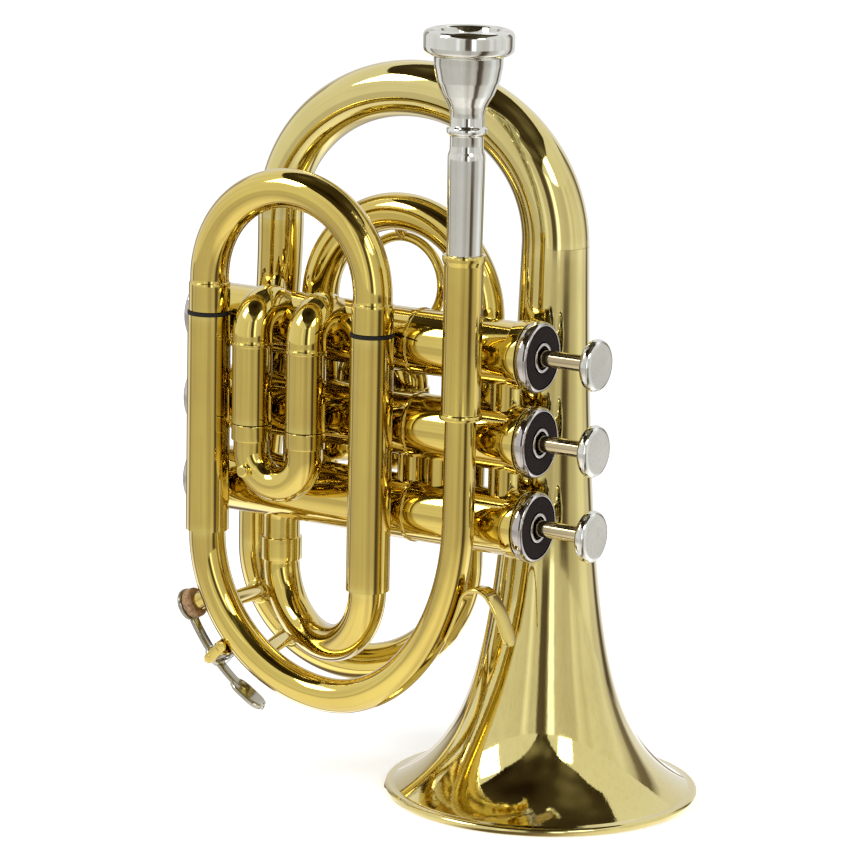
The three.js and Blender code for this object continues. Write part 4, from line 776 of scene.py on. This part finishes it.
for number in VALVES:
    axis = at(0, VALVE_PLANE, valve_height(number))
    form = lathe(Form(), CASING, axis, RIGHT, 96)
    lathed = len(form.points)
    if number > 1:
        for x in CROSSOVERS:
            rod(form, axis + at(x, 0, LINK_FOOT), axis + at(x, 0, LINK_TOP), CROSSOVER_RADIUS)
    if number != 2:
        bell_side = at(0, 0.5 - flare(valve_height(number)), valve_height(number))
        rod(form, axis + at(0, 9, 0), bell_side, POST_RADIUS)
    seated(form, lathed)
    piece(f"casing_{number}", form, BRASS, "horn", f"valve_casing_{number}")
    for name, profile, segments, finish, body, node in (
        ("lower_cap", BOTTOM_CAP, 96, NICKEL, "horn", "bottom_cap"),
        ("upper_cap", TOP_CAP, 96, NICKEL, "horn", "top_cap"),
        ("felt_disc", FELT_DISC, 72, FELT, "horn", "cap_felt"),
        ("stem", STEM, 48, STEM_NICKEL_PAINTED_REFLECTION, f"valve_{number}", "valve_stem"),
        ("button", BUTTON, 72, SILVER, f"valve_{number}", "finger_button"),
    ):
        form = lathe(Form(), profile, axis, RIGHT, segments)
        piece(f"{name}_{number}", form, finish, body, f"{node}_{number}")

form = Form()
for x in LINK_PLACES:
    axis = at(x, VALVE_PLANE, valve_height(3))
    rod(form, axis + UP * LINK_FOOT, axis + UP * LINK_TOP, LINK_RADIUS)
piece("crossover_pair", seated(form), BRASS, "horn")

# Braces, hook and water key
FRONT_CENTRE = at((LEAD_PLACE + LEFT_SLEEVE) / 2, FRONT_PLANE, FRONT_BOW_HEIGHT)
FRONT_RADIUS = front_span / 2
BOW_SURFACE = FRONT_RADIUS + FRONT_BOW_RADIUS
BRACES = ((210, 205.4), (236, 231.6))  # degrees on the front bow and on the back bow
FLANGE_RADIUS, FLANGE_THICKNESS = 4.3, 1.5


def bow_out(degrees):
    return RIGHT * math.cos(math.radians(degrees)) + UP * math.sin(math.radians(degrees))


def bow_place(degrees, radius):
    return FRONT_CENTRE + bow_out(degrees) * radius


back_centre = (back_start + back_end) / 2
back_spoke = back_end - back_centre
for i, (front_degrees, back_degrees) in enumerate(BRACES, 1):
    start = bow_place(front_degrees, FRONT_RADIUS)
    angle = math.radians(back_degrees)
    end = back_centre + back_spoke * math.cos(angle) + UP * np.linalg.norm(back_spoke) * math.sin(angle)
    heading = unit(end - start)
    form = rod(Form(), start + heading * 5, end - heading * 5, POST_RADIUS)
    saddle(form, start, bow_out(front_degrees + 90), 5.5, heading, FLANGE_RADIUS, FLANGE_THICKNESS)
    back_heading = np.cross(back_axis, end - back_centre)
    saddle(form, end, back_heading, BACK_RADIUS, -heading, FLANGE_RADIUS, FLANGE_THICKNESS)
    piece(f"bow_brace_post_{i}", form, BRASS, "horn", f"bow_brace_{i}")

height = valve_height(1)
start, end = at(LEAD_PLACE, FRONT_PLANE + 5.6, height), at(LEAD_PLACE, VALVE_PLANE - 9.6, height)
form = rod(Form(), start, end, POST_RADIUS)
piece("receiver_post", form, BRASS, "horn", "receiver_brace")

# The hook's foot lies along the bow, between two shares of its length
HOOK_SHARES, HOOK_RISE, HOOK_WIDTH, HOOK_THICKNESS = (0.195, 0.115), 6.3, 6.5, 1.2
hook_points = []
for share in HOOK_SHARES:
    along = unit(front_bow(share + 0.001) - front_bow(share - 0.001))
    hook_points.append((front_bow(share) + np.cross(along, BACK) * HOOK_RISE, -along))
(hook_foot, heading), (hook_root, root_heading) = hook_points
follow = math.degrees(math.acos(heading.dot(root_heading)))
radius = np.linalg.norm(hook_root - hook_foot) / (2 * math.sin(math.radians(follow / 2)))
route = Route(hook_foot, heading).bend(radius, follow, FRONT)
route.bend(5.4, -123, FRONT).bend(25, -18, FRONT).run(8)
form = strip(Form(), route, HOOK_WIDTH, HOOK_THICKNESS, BACK, ends=3.0)
piece("finger_hook_strip", form, BRASS, "horn", "finger_hook")

# Water key: its parts stand on the front bow at these angles
PAD, PIN_ANGLE, PADDLE_ANGLE = 206, 224.3, 238.3
NIPPLE_RISE, PIN_RADIUS, PIN_REACH, BARREL_RADIUS, BARREL_REACH = 3, 0.9, 6.4, 1.8, 4.7
EAR_PLACE, EAR_SINK, EAR_RISE, SADDLE_SPAN = 5.6, 3, 2.1, 6.4
nipple_top = BOW_SURFACE + NIPPLE_RISE
nipple = [(1.5, -1.5), (3.4, -1.5), (3.0, 0.6), (3.0, NIPPLE_RISE), (1.5, NIPPLE_RISE), (1.5, -1.5)]
form = lathe(Form(), nipple, bow_place(PAD, BOW_SURFACE), bow_out(PAD), 40)
piece("water_key_seat", form, BRASS, "horn", "water_key_nipple")
disc = [(0, 0.3), (4.6, 0.3), (4.75, 0.8), (4.75, 2.5), (4.5, 2.9), (0, 2.9)]
form = lathe(Form(), disc, bow_place(PAD, nipple_top), bow_out(PAD), 40)
piece("cork_pad", form, CORK, "water_key", "water_key_cork")

cup_foot = nipple_top + 3.2
arm_radius = cup_foot + 0.9
pin_radius = arm_radius - 2.2
pin = bow_place(PIN_ANGLE, pin_radius)
form = Form()
cup = [(0, -0.2), (4.9, -0.2), (5.25, 0.1), (5.25, 0.9), (4.2, 1.6), (0, 1.8)]
lathe(form, cup, bow_place(PAD, cup_foot), bow_out(PAD), 48)
route = Route(bow_place(PAD, arm_radius), bow_out(PAD + 90)).bend(arm_radius, PADDLE_ANGLE - PAD, FRONT)
strip(form, route, 3.6, 1.6, BACK)
route = Route(bow_place(PIN_ANGLE - 4, arm_radius), bow_out(PIN_ANGLE + 86)).bend(arm_radius, 7, FRONT)
strip(form, route, 6, 1.7, BACK, ends=2.4)
paddle_heading = bow_out(PADDLE_ANGLE + 90)
route = Route(bow_place(PADDLE_ANGLE, arm_radius) - paddle_heading * 5.5, paddle_heading).run(13.6)
strip(form, route, 7.2, 1.6, BACK, ends=4.4)
barrel = [(1.2, -BARREL_REACH), (BARREL_RADIUS, -BARREL_REACH), (BARREL_RADIUS, BARREL_REACH)]
barrel += [(1.2, BARREL_REACH), (1.2, -BARREL_REACH)]
lathe(form, barrel, pin, BACK, 32)
piece("water_key_arm", form, KEY_NICKEL_PAINTED_SHADE, "water_key", "water_key_lever")

form = rod(Form(), pin - BACK * PIN_REACH, pin + BACK * PIN_REACH, PIN_RADIUS, 24)
for side in (-1, 1):
    foot = bow_place(PIN_ANGLE, FRONT_RADIUS + EAR_SINK) + BACK * side * EAR_PLACE
    route = Route(foot, bow_out(PIN_ANGLE)).run(pin_radius - FRONT_RADIUS - EAR_SINK + EAR_RISE)
    strip(form, route, 3.4, 1.2, bow_out(PIN_ANGLE + 90), ends=1.7)
saddle_angle, saddle_radius = PIN_ANGLE - SADDLE_SPAN / 2, BOW_SURFACE + 0.4
route = Route(bow_place(saddle_angle, saddle_radius), bow_out(saddle_angle + 90))
strip(form, route.bend(saddle_radius, SADDLE_SPAN, FRONT), 12.4, 1.2, BACK, ends=1.5)
piece("water_key_bracket", form, BRASS, "horn", "water_key_saddle")


def coil(origin, axis, spoke, curls, rise):
    """A helix from origin + spoke, as a curve of a share of its length."""
    return lambda t: origin + turned(spoke, axis, 2 * math.pi * curls * t) + axis * rise * t


KEY_WIRE, KEY_COIL, KEY_CURLS, KEY_COIL_RISE, KEY_LEG = 0.28, 2.38, 2, 2.04, 3.4
origin = pin + BACK * (1.5 + 0.58)
spoke = bow_out(PIN_ANGLE + 90) * KEY_COIL
heading = np.cross(BACK, unit(spoke))
route = Route(origin + spoke - heading * KEY_LEG, heading).run(KEY_LEG)
route.follow(coil(origin, BACK, spoke, KEY_CURLS, KEY_COIL_RISE)).run(KEY_LEG)
form = sweep(Form(), route, KEY_WIRE, segments=12, step=0.35, soft=0.05)
piece("water_key_coil", form, STEEL, "horn", "water_key_spring")

# Valve springs, and the finish of the solids that are carried over
SPRING_FOOT, SPRING_TOP, SPRING_RADIUS, SPRING_WIRE, SPRING_CURLS = -26.4, -12.2, 5.3, 0.5, 5
for number in VALVES:
    axis = at(0, VALVE_PLANE, valve_height(number))
    spring_foot, spring_rise = axis + RIGHT * SPRING_FOOT, SPRING_TOP - SPRING_FOOT
    turns = coil(spring_foot, RIGHT, BACK * SPRING_RADIUS, SPRING_CURLS, spring_rise)
    heading = unit(turns(0.001) - turns(0))
    route = Route(turns(0) - heading, heading).run(1).follow(turns).run(1)
    form = sweep(Form(), route, SPRING_WIRE, segments=14, step=0.8, soft=0.05)
    piece(f"spring_wire_{number}", form, STEEL, "horn", f"valve_spring_{number}")

for name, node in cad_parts.items():
    if name.startswith(("piston", "valve_guide")):
        node.data.materials.clear()
        node.data.materials.append(NICKEL)

# Studio, in metres: a white floor and world, two soft lamps, and three cards that only reflections show
CAMERA_TURN = math.radians(32.316)
FULL_TURN, HALF_TURN = 360, 180


def stage(name, corners, finish, seen=True, faces=None, place=(0, 0, 0)):
    """A floor, wall or card; one that isn't seen shows in reflections only."""
    mesh = bpy.data.meshes.new(name)
    mesh.from_pydata([tuple(corner) for corner in corners], [], faces or [tuple(range(len(corners)))])
    mesh.materials.append(finish)
    made = bpy.data.objects.new(name, mesh)
    made.location = place
    bpy.context.scene.collection.objects.link(made)
    if not seen:
        made.visible_camera = made.visible_diffuse = False
        made.visible_shadow = made.visible_transmission = False


def square(reach):
    return [(-reach, -reach, 0), (reach, -reach, 0), (reach, reach, 0), (-reach, reach, 0)]


def seen_rays(tree):
    """One for the rays that see the background: camera, glossy and transmission rays."""
    rays = tree.nodes.new("ShaderNodeLightPath")
    seen = rays.outputs["Is Camera Ray"]
    for name in ("Is Glossy Ray", "Is Transmission Ray"):
        highest = tree.nodes.new("ShaderNodeMath")
        highest.operation = "MAXIMUM"
        tree.links.new(seen, highest.inputs[0])
        tree.links.new(rays.outputs[name], highest.inputs[1])
        seen = highest.outputs[0]
    return seen


FLOOR_REACH, FLOOR_GLOW = 7.0, 0.45
WORLD_LIGHT, WORLD_SEEN = 0.6, 1.0
paper = material("white_paper", (0.9, 0.9, 0.9), 0.0, 0.9, Specular_IOR_Level=0.0,
                 Emission_Color=(1, 1, 1, 1))
tree = paper.node_tree
shader = tree.nodes["Principled BSDF"]
tree.links.new(spread(tree, seen_rays(tree), 0.0, FLOOR_GLOW), shader.inputs["Emission Strength"])
stage("floor", square(FLOOR_REACH), paper)

world = bpy.data.worlds.new("studio")
world.use_nodes = True
bpy.context.scene.world = world
tree = world.node_tree
background = tree.nodes["Background"]
tree.links.new(spread(tree, seen_rays(tree), WORLD_LIGHT, WORLD_SEEN), background.inputs["Strength"])
background.inputs["Color"].default_value = (1, 1, 1, 1)


def bearing_of(turn):
    """A direction over the floor; turn is in degrees to the right of the camera's."""
    bearing = CAMERA_TURN - math.pi / 2 + math.radians(turn)
    return at(math.cos(bearing), math.sin(bearing), 0)


def lit(name, color):
    """A card that glows and reflects nothing."""
    return material(name, (0, 0, 0), 0.0, 1.0, Specular_IOR_Level=0.0, Emission_Color=(*color, 1),
                    Emission_Strength=1)


def gradient(tree, kind, scale=1.0, rotation=0.0):
    coordinates = tree.nodes.new("ShaderNodeTexCoord")
    mapping = tree.nodes.new("ShaderNodeMapping")
    mapping.inputs["Rotation"].default_value = (0, 0, rotation)
    mapping.inputs["Scale"].default_value = (scale, scale, scale)
    tree.links.new(coordinates.outputs["Object"], mapping.inputs["Vector"])
    node = tree.nodes.new("ShaderNodeTexGradient")
    node.gradient_type = kind
    tree.links.new(mapping.outputs["Vector"], node.inputs["Vector"])
    return node.outputs["Fac"]


def wedges(tree, levels):
    """Wedges round the card's middle; levels are (turn from the camera, brightness), darker ones browner."""
    wheel = gradient(tree, "RADIAL", rotation=math.pi / 2 - CAMERA_TURN)
    stops = []
    for turn, level in levels:
        stops.append(((turn + HALF_TURN) / FULL_TURN, (level, level**1.12, level**1.25)))
    return ramp(tree, wheel, *stops)


# Mat: pale and dark wedges on the floor round the object
MAT = [
    (-180, 0.45), (-165, 0.75), (-152, 0.12), (-142, 0.14), (-134, 1.0), (-118, 1.05), (-109, 0.22),
    (-101, 0.7), (-60, 0.74), (-20, 0.8), (-3, 0.62), (6, 0.6), (14, 0.74), (25, 0.7), (30, 0.4), (34, 0.1),
    (44, 0.13), (49, 0.28), (55, 0.62), (74, 0.8), (86, 1.1), (98, 1.1), (106, 0.85), (118, 0.85),
    (125, 0.12), (131, 0.14), (138, 0.8), (152, 1.0), (166, 0.6), (180, 0.45),
]
MAT_REACH, MAT_RISE = 3.2, 0.0004
mat = lit("mat", (1, 1, 1))
tree = mat.node_tree
shader = tree.nodes["Principled BSDF"]
inward = gradient(tree, "SPHERICAL", 1 / MAT_REACH)
weight = spread(tree, inward, 0, 1, 0.08, 0.66)
color = mixed(tree, "MIX", weight, (0.97, 0.97, 0.97), wedges(tree, MAT))
tree.links.new(color, shader.inputs["Emission Color"])
tree.links.new(spread(tree, inward, 1, 1.7, 0.9, 0.96), shader.inputs["Emission Strength"])
mat_middle = (BELL_AXIS + at(-35, -30, 0)) * MM + UP * MAT_RISE
stage("mat", square(MAT_REACH), mat, seen=False, place=mat_middle)

# Wall: the same kind of wedges, standing round the object
WALL = [
    (-180, 0.85), (-152, 0.65), (-142, 0.3), (-132, 1.0), (-60, 0.95), (-34, 0.85), (-28, 1.3), (-20, 0.8),
    (-12, 0.85), (-9, 0.14), (1, 0.12), (5, 0.4), (8, 1.9), (14, 2.1), (18, 0.85), (36, 0.74), (48, 0.78),
    (54, 1.1), (66, 0.85), (74, 1.0), (95, 0.92), (108, 1.05), (121, 0.7), (126, 0.25), (134, 0.2),
    (141, 0.95), (180, 0.85),
]
WALL_REACH, WALL_SIDES, WALL_FOOT, WALL_TOP = 1.5, 72, 0.001, 0.9
wall = lit("wall", (1, 1, 1))
tree = wall.node_tree
tree.links.new(wedges(tree, WALL), tree.nodes["Principled BSDF"].inputs["Emission Color"])
spokes = [bearing_of(side * FULL_TURN / WALL_SIDES) * WALL_REACH for side in range(WALL_SIDES)]
corners = [spoke + UP * height for height in (WALL_FOOT, WALL_TOP) for spoke in spokes]
faces = []
for side in range(WALL_SIDES):
    after = (side + 1) % WALL_SIDES
    faces.append((side, after, after + WALL_SIDES, side + WALL_SIDES))
wall_middle = (BELL_AXIS + at(-15, -10, 0)) * MM
stage("wall", corners, wall, seen=False, faces=faces, place=wall_middle)

# Ceiling: a dark kite overhead, with its tip towards the camera
CEILING = 0.95
KITE = [
    (0, 2.3), (9, 1.45), (22, 1.08), (50, 0.84), (90, 0.68), (140, 0.62), (180, 0.7), (220, 0.62),
    (270, 0.68), (310, 0.84), (338, 1.08), (351, 1.45),
]
kite = lit("ceiling_card", (0.05, 0.035, 0.018))
tree = kite.node_tree
cloud = noise(tree, place_of(tree), 1.1, 2.0, 0.5)
shades = (0.35, (0.02, 0.012, 0.006)), (0.52, (0.07, 0.055, 0.03)), (0.68, (0.3, 0.27, 0.18))
tree.links.new(ramp(tree, cloud, *shades), tree.nodes["Principled BSDF"].inputs["Emission Color"])
corners = [bearing_of(turn) * reach + UP * CEILING for turn, reach in KITE]
stage("ceiling", corners, kite, seen=False)


def lamp(name, place, target, size, power):
    data = bpy.data.lights.new(name, "AREA")
    data.shape = "RECTANGLE"
    data.size, data.size_y = size
    data.energy = power
    made = bpy.data.objects.new(name, data)
    bpy.context.scene.collection.objects.link(made)
    made.location = place
    made.rotation_mode = "QUATERNION"
    made.rotation_quaternion = (Vector(target) - Vector(place)).to_track_quat("-Z", "Y")


LAMP_TARGET = (0, 0, 0.12)
lamp("key", (-1.4, -1.6, 1.9), LAMP_TARGET, (0.9, 0.9), 26)
lamp("fill", (1.9, -0.9, 1.3), LAMP_TARGET, (0.7, 1.2), 12)

# Camera: lengths in millimetres, focal length in pixels of a frame 860 wide
DISTANCE, TARGET_X, TARGET_Z, FOCAL, FRAME, SENSOR = 1263.33, -36.781, 113.902, 4134.45, 860, 36
elevation, roll = math.radians(12.052), math.radians(1.218)
across = at(math.cos(CAMERA_TURN), math.sin(CAMERA_TURN), 0)
away = at(-math.sin(CAMERA_TURN), math.cos(CAMERA_TURN), 0)
forward = away * math.cos(elevation) - UP * math.sin(elevation)
rise = UP * math.cos(elevation) + away * math.sin(elevation)
camera_right = across * math.cos(roll) + rise * math.sin(roll)
camera_up = rise * math.cos(roll) - across * math.sin(roll)
target = across * TARGET_X + UP * TARGET_Z
camera_data = bpy.data.cameras.new("camera")
camera_data.sensor_width = SENSOR
camera_data.lens = FOCAL * SENSOR / FRAME
camera_data.clip_start, camera_data.clip_end = 0.05, 40
camera = bpy.data.objects.new("camera", camera_data)
bpy.context.scene.collection.objects.link(camera)
place = (target - forward * DISTANCE + BELL_AXIS) * MM
turn = Matrix([camera_right, camera_up, -forward]).transposed().to_4x4()
camera.matrix_world = Matrix.Translation(place) @ turn
bpy.context.scene.camera = camera
bpy.context.scene.view_settings.view_transform = "Standard"
